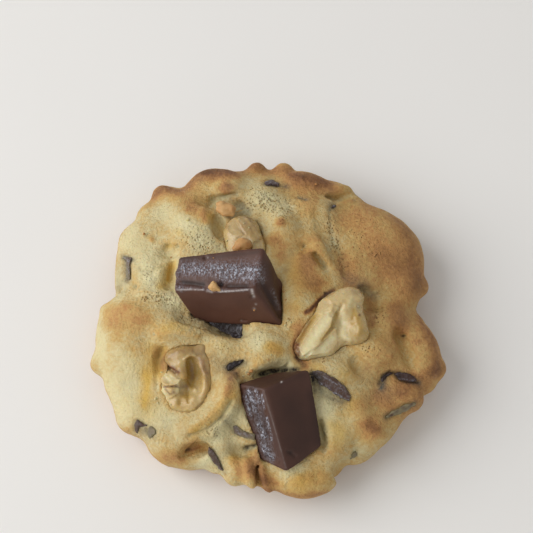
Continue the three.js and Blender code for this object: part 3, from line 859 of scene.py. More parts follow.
def chocolate_material():
    """Dark chocolate: a smooth moulded skin, snapped faces with a grey bloom and painted glints, scuffed
    edges with painted highlights, and painted shade in grooves and on faces turned from the light.
    """
    material, tree, shader, spots = new_material("dark_chocolate")
    mottle = place_group(tree, MOTTLE, Vector=spots, Size=150.0)
    snapped = place_group(tree, SNAPPED, Vector=spots)
    base = mix_colour(tree, mottle.outputs["Broad"], CHOCOLATE_DARK, CHOCOLATE)
    # Painted shade, and the darkest chocolate
    base = coated(tree, base, "deep", 1.0, CHOCOLATE_SHADE_AND_BLACK)
    # Bloom with painted sheen and glints on the snapped faces
    bloom_and_glint = painted(tree, "bloom_and_glint")
    bloom_glint_cover = scaled(tree, snapped.outputs["Grain"], 0.98, 0.08)
    bloom_glint_cover = math_node(tree, "MULTIPLY", bloom_and_glint, bloom_glint_cover, clamp=True)
    base = mix_colour(tree, bloom_glint_cover, base, BLOOM_AND_GLINT)
    # Scuffs, and painted highlights along the lit edges
    base = coated(tree, base, "scuff_and_highlight", 0.9, SCUFF_AND_HIGHLIGHT)
    base = coated(tree, base, "film", 1.0, DOUGH_FILM)
    surface(tree, shader, base, scaled(tree, mottle.outputs["Fine"], 0.26, 0.3), 0.34)
    torn = math_node(tree, "MULTIPLY", snapped.outputs["Grain"], bloom_and_glint)
    bump(tree, shader, scaled(tree, mottle.outputs["Fine"], 0.15, torn), 0.8, 0.3 * MM)
    return material


NUT_FLESH = linear(212, 191, 140)
# Pale cream of the cut flesh, also used for painted highlights on the nuts
NUT_CREAM_AND_HIGHLIGHT = linear(228, 217, 172)
NUT_AMBER = linear(174, 140, 66)
NUT_SKIN = linear(108, 68, 45)
NUT_SHADE = linear(193, 165, 113)


def walnut_material():
    """Walnut flesh: oily cream and tan, amber in its grooves, with scraps of papery skin; the cream also
    carries painted highlights.
    """
    material, tree, shader, spots = new_material("walnut_flesh")
    mottle = place_group(tree, MOTTLE, Vector=spots, Size=240.0)
    flesh = mix_colour(tree, mottle.outputs["Broad"], NUT_SHADE, NUT_FLESH)
    # Cream of the flesh, with painted highlights
    flesh = coated(tree, flesh, "cream_and_highlight", 1.0, NUT_CREAM_AND_HIGHLIGHT)
    flesh = coated(tree, flesh, "amber", 0.9, NUT_AMBER)
    flesh = coated(tree, flesh, "skin", scaled(tree, mottle.outputs["Fine"], 1.6, 0.1), NUT_SKIN)
    surface(tree, shader, flesh, scaled(tree, mottle.outputs["Fine"], 0.3, 0.12), 0.55)
    let_light_in(shader, 0.5, (1.0, 0.6, 0.3), 1.8 * MM)
    bump(tree, shader, mottle.outputs["Fine"], 0.28, 0.3 * MM)
    return material


TOAST_LIGHT = linear(212, 176, 120)
TOAST_DEEP = linear(182, 128, 72)


def toasted_material():
    """Crumbs of toasted nut: orange-gold with a dry grain."""
    material, tree, shader, spots = new_material("toasted_crumb")
    mottle = place_group(tree, MOTTLE, Vector=spots, Size=420.0)
    grain = place_group(tree, GRAIN, Vector=spots, Grains=2100.0, Pores=1300.0, Openness=0.2)
    toast = math_node(tree, "ADD", mottle.outputs["Broad"], painted(tree, "toast"), clamp=True)
    colour = mix_colour(tree, toast, TOAST_LIGHT, TOAST_DEEP)
    surface(tree, shader, colour, scaled(tree, mottle.outputs["Fine"], 0.3, 0.4), 0.4)
    let_light_in(shader, 0.1, (1.0, 0.6, 0.3), 0.6 * MM)
    bump(tree, shader, grain.outputs["Height"], 0.5, 0.3 * MM)
    return material


BAKED = baked_material()
DARK_CHOCOLATE = chocolate_material()
WALNUT = walnut_material()
TOASTED = toasted_material()

# The two large chunks: near top corner, the edges to its neighbours, and how far
# single corners are cut back, as the solids have them. The reach of a corner is how
# much further its snapped end goes than that of the solid
UPPER_CHUNK = {
    "corner": (-3.2, 2.8, 29.6),
    "edges": ((-19.6, 2.4, -5.4), (2.1, 11.2, 0.6), (7.1, -5.2, -9.2)),
    "trims": {3: (-1.4, -2.6, -0.2), 5: (-1.4, -0.4, 1.6), 6: (-2, -0.8, -1)},
    "reach": {
        1: (-0.9, 0, -0.2), 2: (0.45, 0.6, 0.1), 3: (-0.8, 0.3, 0),
        4: (0.2, -1, -0.3), 5: (-0.9, -0.5, -0.3), 7: (-0.8, 0, 0),
    },
}
LOWER_CHUNK = {
    "corner": (-0.7, -21.7, 26.2),
    "edges": ((10.7, 5.2, -1.8), (5.3, -18, -8.8), (-6.3, 3.1, -5.8)),
    "trims": {3: (-1.8, 1.1, 0.6), 5: (-1.2, -1.5, 0.4), 6: (0, 1.2, 1.6)},
    "reach": {
        1: (0.75, 0.6, 0.2), 2: (0.2, -0.6, -0.3), 3: (0.3, 0.3, 0),
        4: (-1.1, 0.2, 0), 6: (-0.5, -0.3, 0),
    },
}
CHUNK_EDGE = 0.7


def chunk_corners(chunk):
    """The eight corners of a chunk."""
    points = []
    for n in range(8):
        p = np.array(chunk["corner"], float)
        for i, edge in enumerate(chunk["edges"]):
            if n >> i & 1:
                p += edge
        points.append(p + chunk["trims"].get(n, (0, 0, 0)) + chunk["reach"].get(n, (0, 0, 0)))
    return np.array(points)


def hull_planes(points):
    """The flat faces round a set of points: outward direction and distance from the origin."""
    bm = bmesh.new()
    for p in points:
        bm.verts.new(p)
    bmesh.ops.convex_hull(bm, input=bm.verts)
    bm.normal_update()
    middle = points.mean(axis=0)
    planes = []
    for face in bm.faces:
        normal = np.array(face.normal)
        if normal @ (np.array(face.calc_center_median()) - middle) < 0:
            normal = -normal
        if all(normal @ other < 0.9999 for other, _ in planes):
            planes.append((normal, normal @ np.array(face.verts[0].co)))
    bm.free()
    return planes


def planes_distance(points, planes):
    """Distance to a chunk's flat faces, with its edges rounded."""
    field = np.full(len(points), -1e3)
    for normal, level in planes:
        field = soft_max(field, points @ normal - level, CHUNK_EDGE)
    return field


# Walnut pieces: rounded lobes and dips, each with its centre, half sizes and turn in degrees.
# Most are those of the solids; the rest shape the cut ends more closely
WALNUTS = {
    "walnut_right": {
        "lobes": [
            ((13.2, -4.4, 20.1), (8.1, 3.8, 3.7), 57),
            ((9.7, -8.8, 19.4), (3.1, 2.7, 3), 10),
            ((18.8, 2.6, 20.4), (5, 3.7, 3.6), 42),
            ((22, -0.9, 20), (5.5, 2.8, 3.3), -72),
            ((22.4, -5, 19.4), (2.9, 2.6, 2.9), 0),
            ((18.2, -5.5, 18.8), (3, 2.6, 2.8), 0),
            ((15.6, 1.4, 19.8), (3.2, 2.6, 3.6), 50),
            ((14.6, -7.8, 19.2), (3.8, 3.2, 2.8), 40),
            ((22, 4.2, 20), (2.2, 2.4, 3.2), -40),
        ],
        "dips": [],
        "blend": 2.2,
    },
    "walnut_left": {
        "lobes": [
            ((-20.4, -10.4, 17.6), (5.4, 2.8, 3.4), 6),
            ((-15.6, -12.4, 17.4), (2.2, 3.4, 3.2), 14),
            ((-15.2, -17.4, 16.8), (1.9, 4.2, 3.2), -10),
            ((-17.8, -22, 16), (3.4, 2.4, 3), 32),
            ((-21.4, -22, 15.4), (3.4, 2.6, 2.8), -10),
            ((-23.6, -17.6, 16.2), (3, 3.6, 3.6), 8),
            ((-20.8, -13.8, 17), (2.6, 3.2, 3.6), 0),
            ((-18.6, -17, 14.8), (3.6, 5.6, 3), 8),
            ((-16.4, -8.5, 17.4), (1.9, 1.5, 2.8), 0),
            ((-22.4, -13.8, 16.4), (2.6, 2.8, 2.8), 0),
        ],
        "dips": [((-18, -16.4, 20.6), (1.7, 4.4, 3), 8)],
        "blend": 1.7,
    },
    "walnut_top": {
        "lobes": [
            ((-6.6, 23, 18.8), (4.6, 5, 3.8), -40),
            ((-3.6, 20, 19.2), (2.8, 5, 3.6), 24),
            ((-7.4, 18.6, 18.2), (3.4, 3, 3.2), 0),
        ],
        "dips": [],
        "blend": 1.6,
    },
}
DIP_BLEND = 0.8


def walnut_distance(points, nut):
    """Distance to a walnut piece."""
    x, y, z = points.T
    field = None
    for centre, half, turn in nut["lobes"]:
        lobe = ellipsoid_distance(x, y, z, centre, half, math.radians(turn))
        field = lobe if field is None else soft_min(field, lobe, nut["blend"])
    for centre, half, turn in nut["dips"]:
        dip = ellipsoid_distance(x, y, z, centre, half, math.radians(turn))
        field = soft_max(field, -dip, DIP_BLEND)
    return field


def nut_box(nut):
    """The box round a walnut piece's lobes."""
    centres = np.array([lobe[0] for lobe in nut["lobes"]])
    reach = np.array([[max(lobe[1])] * 3 for lobe in nut["lobes"]])
    return (centres - reach).min(axis=0) - 1, (centres + reach).max(axis=0) + 1


# Relief drawn on the dough: width in pixels, rise in millimetres, path in the photograph's frame
DOUGH_RELIEF = {
    "right of the lower chunk": (7, 0.6, (325, 400), (328, 418), (331, 434)),
    "foot of the lower chunk": (5, 0.5, (301, 464)),
    "beside the spongy lump": (8, 0.4, (388, 352)),
    "rim of the gap": (5, 1, (258, 365), (285, 362)),
    "wide low hollow": (8, 0.8, (226, 447)),
    "between the folds": (2.8, 1, (262, 468), (266, 484)),
    "under the roll": (6, 0.6, (194, 448)),
    "rear crevice": (3.5, -1.2, (213, 199), (225, 198), (236, 194)),
    "crevice foot": (3, -0.7, (210, 206), (214, 201)),
    "knot": (4, 0.6, (226, 187)),
    "knot cheek": (3, 0.5, (217, 188)),
    "grey hollow": (5, -0.9, (240, 206), (248, 212)),
    "ridge tip": (4, 0.5, (207, 222), (203, 212)),
    "hole by the rear nut": (4.4, 0.4, (216, 228), (220, 236)),
    "white fleck": (1.2, 0.35, (188, 220)),
    "yellow dimple": (3.2, -1.1, (167, 247)),
    "small pit": (1.6, -0.7, (177, 247)),
    "beside the chunk": (2.6, -0.8, (172, 262), (170, 279)),
    "pink fragment": (1.8, 0.45, (144, 235)),
    "tan bump": (2.8, 0.5, (152, 240)),
    "crumb lump top": (5, 0.4, (150, 262)),
    "crumb lump side": (5, 0.6, (160, 273)),
    "crumb lump low": (5, 0.4, (150, 279)),
    "lump seam": (1.6, -0.5, (140, 268), (152, 271), (164, 266)),
    "dark hole": (1.8, -1, (134, 286)),
    "crest pit one": (1.4, -0.6, (148, 297)),
    "crest pit two": (1.2, -0.5, (157, 299)),
    "crest pit three": (1.2, -0.5, (164, 302)),
    "crest ridge": (2, 0.35, (144, 292), (158, 294), (170, 292)),
    "brow": (4, 0.4, (108, 312), (122, 306), (138, 309)),
    "dark dot": (1.2, -0.5, (153, 334)),
    "wall crest": (3.2, 0.5, (160, 334), (180, 332), (198, 336)),
    "roll crest": (3.4, 0.5, (228, 388), (221, 406), (206, 420), (192, 429)),
    "roll foot": (2, -0.9, (232, 402), (222, 418), (208, 430), (190, 436)),
    "pale crumbs": (4, 0.5, (212, 434)),
    "low crack": (1.4, -1, (187, 451), (196, 443)),
    "skin streak": (1.4, -0.5, (180, 457), (192, 452), (205, 448)),
    "low hollow": (2.4, -0.9, (246, 449), (255, 447)),
    "first fold": (3.6, 0.35, (246, 460), (249, 480)),
    "fold groove": (1.8, -0.2, (253, 450), (255, 472)),
    "second fold": (3.2, 0.35, (259, 458), (262, 478)),
    "orange lobe": (5, 0.5, (233, 462), (238, 472)),
    "inner dent": (1.8, -0.9, (304, 246)),
    "outer dent": (1.3, -0.8, (315, 254), (319, 260), (325, 267)),
    "dent ridge": (2, 0.4, (321, 252), (330, 264)),
    "dent ledge": (2.4, 0.35, (300, 252), (310, 250)),
    "valley": (2.2, -0.4, (330, 210), (333, 240), (343, 260), (345, 275)),
    "orange bump": (5, 0.6, (281, 222)),
    "bump slope": (5, 0.4, (272, 240)),
    "rim fold": (6, 0.8, (334, 195), (341, 191), (348, 189)),
    "fold ridge": (2.2, 0.5, (338, 205), (352, 201)),
    "shaded hollow": (7, -0.2, (366, 292), (375, 297)),
    "wall of the left nut": (3.2, -1.1, (161, 350), (157, 360), (158, 370)),
    "wall below it": (2.2, -0.5, (156, 372), (157, 388)),
    "left of the rear nut": (5, 0.5, (229, 221), (230, 232)),
    "right hole": (2, -0.6, (404, 336)),
    "right crease": (2.2, -0.3, (407, 342), (414, 356)),
    "dimple": (5, 0.6, (359, 364)),
    "spongy edge": (2.4, 0.5, (391, 356)),
    "brown lump one": (5, 0.4, (366, 423)),
    "brown lump two": (5, 0.4, (376, 430)),
    "brown lump three": (4, 0.3, (385, 436)),
    "crevice by the chunk": (2.6, 0.3, (322, 425), (327, 437)),
    "pale spot": (2.2, 0.4, (331, 424)),
    "yellow lobe": (5, 0.4, (338, 414)),
    "front dent": (4, -0.5, (317, 478)),
    "front bump": (4, 0.4, (300, 477)),
    "front edge bump": (3, 0.4, (283, 486)),
    "pale knob edge": (2, 0.35, (350, 446), (362, 444)),
    "rear seam": (1.4, -0.4, (299, 197), (306, 199)),
    "behind the lower chunk": (2.4, -0.6, (256, 377), (268, 372), (292, 369)),
    "foot of the centre lump": (3, 0.3, (262, 362), (285, 362)),
    "small rim bump": (2.4, 0.4, (302, 178)),
    "rim dent": (2.4, -0.4, (309, 186)),
}

# Browning: width, amount and path, added to the base value. Most strokes are the toasting of the dough;
# the ones marked paint shade or light instead
BASE_BROWNING = 0.34
BROWNING = {
    "left of the nut foot": (5.5, 0.24, (298, 342), (299, 350)),
    "slope of the left nut": (6, 0.16, (230, 392), (232, 372)),
    "left of the low streak": (7, -0.16, (232, 414), (248, 420)),
    # Painted light: paler, to lift the shade in the groove beside the upper chunk
    "wall left of the upper chunk": (6, -0.3, (172, 262), (174, 276)),
    "above the upper chunk": (5, -0.24, (214, 247), (238, 250)),
    "rear rim dip": (7, 0.12, (140, 196), (228, 172)),
    "by the rear right lump": (9, 0.12, (342, 260), (348, 282)),
    "between the nut and the chunk": (7, 0.12, (298, 346), (296, 330)),
    "edge of the gap": (4, -0.4, (262, 366), (288, 364)),
    "above the right nut": (7, 0.2, (320, 302), (322, 284)),
    # Painted shadow under the tip of the right walnut
    "below the tip": (3.4, 0.18, (298, 356), (304, 366)),
    # Painted shade in the hollow by the right walnut
    "hollow by the nut": (5, 0.22, (368, 300), (372, 322)),
    "nut crack": (2.2, 0.7, (307, 313), (320, 300), (333, 292)),
    "by the centre shard": (8, 0.1, (232, 372)),
    "slope by the arc": (9, 0.2, (402, 394)),
    "foot of the long stain": (7, -0.12, (118, 284)),
    "left lump": (15, 0.06, (112, 330), (122, 350)),
    "ridge foot": (8, -0.2, (211, 228)),
    "behind the upper chunk": (14, -0.14, (184, 228)),
    # Painted shade on the wall of the left walnut's pocket
    "pocket": (6, 0.38, (158, 352), (160, 366)),
    "slope above the folds": (5, 0.18, (252, 456)),
    "slope by the right rim": (10, 0.24, (410, 380), (434, 374)),
    "rear rim slope": (8, 0.12, (214, 176), (236, 176)),
    "right of the lower shard": (9, -0.12, (350, 416), (366, 412)),
    "below the left lump": (10, -0.14, (122, 364), (134, 386)),
    "left of the upper chunk": (9, -0.28, (160, 284), (176, 300)),
    "ridge lump": (8, -0.08, (318, 296)),
    "left swell": (12, 0.1, (128, 352), (124, 364)),
    "front lobe": (7, -0.25, (298, 466), (284, 478)),
    "below the left nut": (10, -0.26, (146, 412), (166, 420)),
    "rear left": (8, -0.12, (186, 222), (196, 230)),
    "low lobe": (9, -0.1, (212, 470), (232, 446)),
    "under the roll": (6, 0.3, (190, 449), (207, 446)),
    "fold glaze": (9, 0.2, (254, 466), (270, 480)),
    "right side": (26, 0.16, (372, 268), (398, 285), (392, 380)),
    "by the nut": (10, 0.12, (356, 284), (342, 264)),
    "below right": (13, 0.06, (364, 366), (388, 394), (408, 384)),
    "right of the centre lump": (7, 0.2, (299, 326), (300, 350), (306, 366)),
    "right of the upper chunk": (8, 0.24, (278, 240), (280, 256)),
    "above the dent": (10, 0.14, (298, 238), (318, 236)),
    "under the upper chunk corner": (7, 0.12, (280, 306), (292, 310)),
    "between nut and chunk": (9, 0.04, (212, 366), (230, 376), (212, 392)),
    "inner slope of the left lump": (9, 0.04, (142, 326), (143, 350)),
    "low tip": (7, 0.14, (122, 436)),
    "bottom right": (9, 0.16, (276, 480), (320, 478)),
    "left rim": (10, -0.2, (98, 315), (98, 352)),
    "left slope": (10, -0.18, (122, 350), (130, 366)),
    "left crumb": (12, -0.28, (150, 262), (158, 282)),
    # Painted light: paler, to lift the shadow that the lower chunk casts to its right
    "right of the lower chunk": (8, -0.3, (324, 396), (330, 430)),
    "left of the lower chunk": (8, -0.3, (232, 414), (212, 438)),
    "bottom left lobe": (8, -0.2, (208, 478)),
    "left brow": (12, 0.2, (108, 320), (125, 313), (140, 320)),
    "tan slope": (10, 0.16, (180, 192), (196, 196)),
    "rear left rim": (7, 0.32, (150, 197), (163, 187), (185, 181), (205, 169)),
    "rear rim": (8, 0.36, (205, 169), (232, 169), (255, 166), (285, 171), (310, 177), (330, 186)),
    "knot": (6, 0.3, (226, 188)),
    "orange ridge": (8, 0.28, (190, 209), (204, 216)),
    "ridge tip": (4, 0.2, (207, 222)),
    "rear right lump": (11, 0.22, (298, 182), (318, 188)),
    "orange bump": (6, 0.28, (281, 222)),
    "bump slope": (6, 0.1, (273, 238)),
    "ridge by the chunk": (10, 0.26, (308, 260), (312, 282)),
    "upper right": (14, 0.22, (345, 218), (372, 205)),
    "right lobe": (16, 0.24, (370, 235), (392, 262)),
    "right lobe outside": (14, 0.3, (400, 215), (414, 250), (418, 285)),
    "right slope": (10, 0.2, (398, 310), (402, 328)),
    "right rim": (9, 0.34, (424, 318), (434, 345), (438, 368)),
    "right rim inside": (5, 0.2, (418, 342)),
    "brown lump": (12, 0.3, (368, 424), (374, 430)),
    "brown core": (6, 0.14, (372, 427)),
    "lower right flank": (10, 0.22, (406, 425), (424, 392)),
    "front slope": (7, 0.08, (318, 459), (338, 448)),
    "right of centre": (10, 0.2, (352, 412), (376, 398), (388, 408)),
    "centre right": (9, 0.2, (298, 262), (300, 284)),
    "rear slope": (12, 0.14, (285, 192), (308, 205)),
    "bottom rim": (4, 0.3, (262, 491), (300, 497), (326, 494)),
    "folds": (7, 0.2, (252, 468), (264, 482)),
    "orange lobe": (6, 0.22, (235, 461), (241, 474)),
    "lower left lump": (7, 0.24, (165, 457), (180, 459)),
    "low left tip": (5, 0.3, (123, 436)),
    "roll": (5, 0.06, (227, 390), (217, 411), (197, 428)),
    "wall by the pocket": (5, 0.1, (146, 372), (143, 402)),
    "spot on the centre lump": (5, 0.3, (278, 352), (270, 347)),
    "tan fragment": (3, 0.2, (152, 239)),
    "centre lump": (9, -0.3, (259, 341)),
    "cushion": (7, -0.16, (224, 346)),
    "pale lower left": (14, -0.16, (112, 388), (126, 412)),
    "crumb lump": (12, -0.24, (150, 270)),
    "rear crumb": (12, -0.2, (258, 200), (282, 206)),
    "left shoulder": (8, -0.16, (132, 232), (126, 246)),
    "pale shoulder": (10, -0.12, (160, 215)),
    "shelf": (9, -0.2, (200, 240)),
    "low pale crumb": (8, -0.34, (210, 436)),
    "beside the lower chunk": (7, -0.14, (322, 408)),
    "by the long stain": (7, -0.16, (114, 275), (118, 295)),
    "bottom pale lobe": (6, -0.3, (202, 464), (212, 458)),
    "pale knob": (5, -0.1, (358, 452)),
}

# Buttery yellow showing in torn and hollow places
BUTTERY = {
    "ridge": (6, 0.6, (212, 218)),
    "crumb lump": (8, 0.5, (166, 268), (164, 286)),
    "left of the left nut": (10, 0.4, (144, 372), (146, 412)),
    "ridge lump": (7, 0.4, (298, 304)),
    "below the right nut": (8, 0.45, (342, 372)),
    "lower right": (9, 0.5, (342, 436)),
    "fold": (6, 0.5, (232, 458)),
    "low pale crumb": (6, 0.4, (208, 436)),
    "left lump": (10, 0.3, (130, 358)),
    "roll": (6, 0.4, (234, 394), (219, 416), (197, 430)),
    "left wall": (6, 0.4, (150, 345), (147, 372)),
    "centre lump": (7, 0.7, (278, 350), (268, 347)),
    "ridge by the upper chunk": (8, 0.35, (292, 262), (299, 285)),
    "bottom lobe": (8, 0.3, (318, 478), (290, 488)),
    "right slope": (8, 0.3, (352, 405), (334, 438)),
    "pocket wall": (4.5, 0.7, (161, 349), (157, 362), (157, 376)),
    "left of the rear nut": (4, 0.5, (219, 226), (222, 232)),
    "yellow hollow": (4, 0.8, (167, 247)),
    "beside the chunk": (4, 0.7, (172, 262), (170, 281)),
    "yellow wall": (5, 0.5, (165, 328), (186, 327)),
    "cushion": (3, 0.5, (222, 346)),
    "outer wall": (4, 0.6, (148, 378), (144, 405)),
    "shelf": (4, 0.5, (180, 233)),
    "crumb lump foot": (4, 0.5, (160, 285)),
    "right of the chunk": (7, 0.4, (332, 425)),
    "roll end": (3, 0.5, (195, 430)),
    "below the nut": (6, 0.4, (318, 368)),
    "front lobe": (8, 0.35, (300, 478)),
    "shelf foot": (3, 0.4, (200, 212)),
}

# Grey-olive stains round the chocolate, and painted shade in hollows, under the chunks and beside the
# nuts
STAINS_AND_SHADE = {
    "above the right nut": (4, 0.3, (325, 298), (333, 291)),
    "below the nut foot": (4.6, 0.4, (316, 359), (328, 355), (340, 348)),
    "rear left crevice": (4.5, 0.32, (221, 198), (228, 199)),
    "left foot of the rear nut": (3.2, 0.3, (228, 234), (229, 247)),
    "by the centre shard": (6, 0.16, (232, 374), (226, 366)),
    "by the lower right slope": (8, 0.12, (388, 390), (366, 370)),
    "foot of the long stain": (6, 0.1, (120, 284)),
    "left of the rear nut": (6, 0.2, (231, 214), (230, 238)),
    "by the right nut": (9, 0.4, (360, 284), (344, 278)),
    "below the spongy lump": (10, 0.22, (362, 370), (370, 394), (386, 392)),
    "pocket of the left nut": (5, 0.2, (160, 350), (161, 366)),
    "behind the rear nut": (10, 0.28, (234, 192), (236, 212)),
    "olive by the chips": (10, 0.05, (146, 436), (168, 436)),
    "between the nut and the chunks": (10, 0.38, (212, 360), (232, 374)),
    "by the low folds": (7, 0.16, (256, 444), (258, 460)),
    "long stain": (3.6, 0.7, (127, 259), (127, 281)),
    "stain head": (3, 0.8, (123, 257), (132, 259)),
    "stain side": (6, 0.25, (119, 268), (118, 290)),
    "rear stain": (3.6, 0.55, (270, 183), (288, 187)),
    "rear slit": (2.2, 0.7, (299, 197), (306, 199)),
    "rear right chip": (4, 0.45, (333, 206)),
    "valley": (6, 0.22, (330, 195), (332, 225), (343, 262)),
    "right of the upper chunk": (5, 0.3, (290, 252), (286, 270)),
    "hollow by the nut": (6, 0.5, (363, 289), (374, 295)),
    "below the hollow": (8, 0.2, (372, 316)),
    "olive slope": (8, 0.2, (168, 308), (190, 320)),
    "under the upper chunk": (4, 0.5, (194, 318), (216, 330)),
    "by the right shard": (5, 0.65, (317, 382), (323, 393), (342, 402)),
    "arc": (3.4, 0.7, (386, 376), (381, 388)),
    "lens": (3.2, 0.7, (398, 374), (420, 383)),
    "sliver": (3.6, 0.6, (386, 417), (415, 404)),
    "chips": (5, 0.55, (140, 427), (152, 433)),
    "olive lump": (8, 0.14, (165, 424), (182, 432)),
    "low shard": (3.6, 0.45, (212, 452), (223, 472)),
    "streak": (3.6, 0.42, (222, 418), (237, 430), (254, 438)),
    "pale knob": (3, 0.5, (355, 454)),
    "centre shard": (3.6, 0.6, (228, 368), (246, 362)),
    "grey hollow": (5, 0.5, (241, 206), (248, 211)),
    "left pale spot": (3, 0.2, (124, 384)),
    "rear left spot": (4, 0.25, (201, 181)),
    "round the chips": (6, 0.18, (136, 432), (150, 438)),
}

# Painted shade in creases, pits and seams, near black, with a few smears of chocolate
CREVICE_SHADE_AND_SMEARS = {
    "below the right nut": (2.4, 0.8, (296, 357), (303, 365)),
    "arc smear": (1.8, 0.75, (379, 384), (383, 376), (391, 371.5)),
    "lens smear": (1.6, 0.75, (394, 372.5), (400, 380), (418, 382.5)),
    "chip smear": (2.6, 0.7, (310, 373), (317, 381)),
    "sliver end": (1.4, 0.5, (386, 417.5), (391, 413.5)),
    "bottom shard smear": (1.3, 0.4, (212, 449), (222, 468)),
    "streak smear": (2.2, 0.35, (234, 431), (246, 436)),
    "under the upper chunk": (2.6, 1.1, (192, 314), (206, 320.5), (220, 326)),
    "pit": (4.5, 0.9, (222, 331), (238, 333)),
    "behind the lower chunk": (2.4, 1.5, (262, 374), (270, 371.6), (284, 370.4), (297, 369.4)),
    "right of the lower chunk": (1.8, 0.8, (311, 373), (315, 392)),
    "crack pore one": (1.4, 0.9, (324.5, 293.5)),
    "crack pore two": (1.1, 0.8, (330.5, 290.5)),
    "nut crack": (1.4, 0.35, (308, 312), (317, 302), (326, 294), (334, 289)),
    "crack by the rear nut": (1.6, 0.6, (256, 221), (261, 227), (262, 235)),
    "rear nut pore": (1.1, 0.9, (261, 233)),
    "dark hole": (1.5, 0.6, (134, 286)),
    "dark dot": (1, 0.8, (153, 334)),
    "right hole": (1.7, 1.3, (403, 336)),
    "low crack": (1.3, 0.6, (187, 451), (190, 449)),
    "low hollow": (3, 0.9, (246, 449), (256, 446)),
    "by the lower chunk": (1.8, 0.5, (236, 374), (240, 384)),
    "crevice by the chunk": (1.6, 0.35, (322, 426), (327, 437)),
    "inner dent": (1.3, 0.35, (304, 247)),
    "pit near the shelf": (1.2, 0.4, (177, 247)),
    "left notch pore": (1, 0.4, (139, 290)),
    "pocket corner": (3, 0.22, (160, 350), (157, 362)),
}

# Open, spongy crumb
SPONGY = {
    "rear crumb": (14, 0.9, (258, 200), (285, 208)),
    "shelf": (10, 0.7, (190, 238), (210, 246)),
    "porous crest": (6, 1, (148, 297), (168, 300)),
    "valley": (7, 0.8, (330, 225), (344, 265)),
    "olive slope": (9, 0.6, (185, 318), (202, 326)),
    "spongy right lump": (11, 0.5, (372, 350)),
    "centre lump": (9, 0.7, (262, 338)),
    "low crumb": (8, 0.8, (212, 433)),
    "cushion": (8, 0.6, (222, 348)),
    "by the nut": (9, 0.7, (380, 315)),
    "below the nut": (8, 0.6, (325, 362)),
    "right lobe": (14, 0.45, (358, 235), (372, 250)),
    "left crumb lump": (9, 0.5, (150, 270)),
    "crumbs at the corner": (4, 0.9, (288, 321)),
}

# Browning of the low rim, of the sides that the photograph doesn't show and of the base
RIM_LEVEL = 9
RIM_BROWNING = 0.12
SIDE_BROWNING = 0.12
SIDE_PATCHES = [(9, 0.14, 21)]
UNDERSIDE_BROWNING = 0.74
UNDERSIDE_PATCHES = [(6, 0.1, 25)]

# Unevenness of the dough: size, height and seed
DOUGH_LUMPS = [(5, 0.2, 3), (2.3, 0.09, 5)]
DOUGH_GRAIN = [(1.1, 0.12, 7), (0.8, 0.07, 9)]

# Small pits where the crumb is open, and how far the dough draws back from the solid,
# all over and under the shards
PIT_SIZE = 1.3
PIT_REACH = 0.36
DRAWN_BACK = 0.08
UNDER_SHARDS = 0.3

# How far the painted borders wander, in pixels, for broad tones and for stains
BROAD_WANDER = 2
CLOSE_WANDER = 0.8
SIDEWAYS_WANDER = [(3, 1, 41), (1.2, 0.5, 45)]
UP_AND_DOWN_WANDER = [(3, 1, 43), (1.2, 0.5, 47)]

# Strength of the drawn browning, and how much browner what stands out is
BROWNING_STRENGTH = 1.1
BULGE_BROWNING = 0.5


# The box of space that the dough is formed in
DOUGH_SPACE_LOW = (-48.5, -47.5, -1.3)
DOUGH_SPACE_HIGH = (48.5, 50, 26.5)

# How much wider than a piece its pocket is, and the roundness of the pocket's lip;
# the dough holds the nuts a little tighter than they are
CHUNK_GAP = 0.08
CHUNK_LIP = 0.6
NUT_GAP = -0.12
NUT_LIP = 0.3


def dough_block():
    """The dough in space: its forms joined, and a pocket pressed into it for each large piece."""
    block = Block(DOUGH_SPACE_LOW, DOUGH_SPACE_HIGH, DOUGH_STEP)
    field = loaf_distance(block.x, block.y, block.z)
    for form in DOUGH_FORMS:
        centre, half, _, blend, _ = form
        part = block.around(centre, max(half) + 2 * blend)
        field[part] = with_form(field[part], *block.places(part), form)
    block.field = soft_max(field, -block.z, BASE_BLEND)
    for chunk in (UPPER_CHUNK, LOWER_CHUNK):
        corners = chunk_corners(chunk)
        planes = hull_planes(corners)
        press_piece(block, corners, lambda p: planes_distance(p, planes), CHUNK_GAP, CHUNK_LIP)
    for nut in WALNUTS.values():
        corners = np.array(nut_box(nut))
        whole = {**nut, "dips": []}
        press_piece(block, corners, lambda p: walnut_distance(p, whole), NUT_GAP, NUT_LIP)
    return block


def press_piece(block, corners, distance, gap, lip):
    """Presses a piece into the block's field, a gap wider than itself, with a rounded lip."""
    low = corners.min(axis=0)
    high = corners.max(axis=0)
    part = block.around((low + high) / 2, max(high - low) / 2 + 2)
    x, y, z = np.broadcast_arrays(*block.places(part))
    points = np.stack([x.ravel(), y.ravel(), z.ravel()], 1)
    away = distance(points).reshape(x.shape) - gap
    block.field[part] = soft_max(block.field[part], -away, lip)


def clean_faces(points, faces):
    """The faces of the one largest shell; loose scraps are dropped."""
    label = np.arange(len(points))
    while True:
        lowest = label[faces].min(axis=1)
        new = label.copy()
        for i in range(4):
            np.minimum.at(new, faces[:, i], lowest)
        new = new[new]
        if np.array_equal(new, label):
            break
        label = new
    main = np.bincount(label[faces[:, 0]]).argmax()
    faces = faces[label[faces[:, 0]] == main]
    used = np.zeros(len(points), bool)
    used[faces.ravel()] = True
    number = np.cumsum(used) - 1
    return points[used], number[faces]


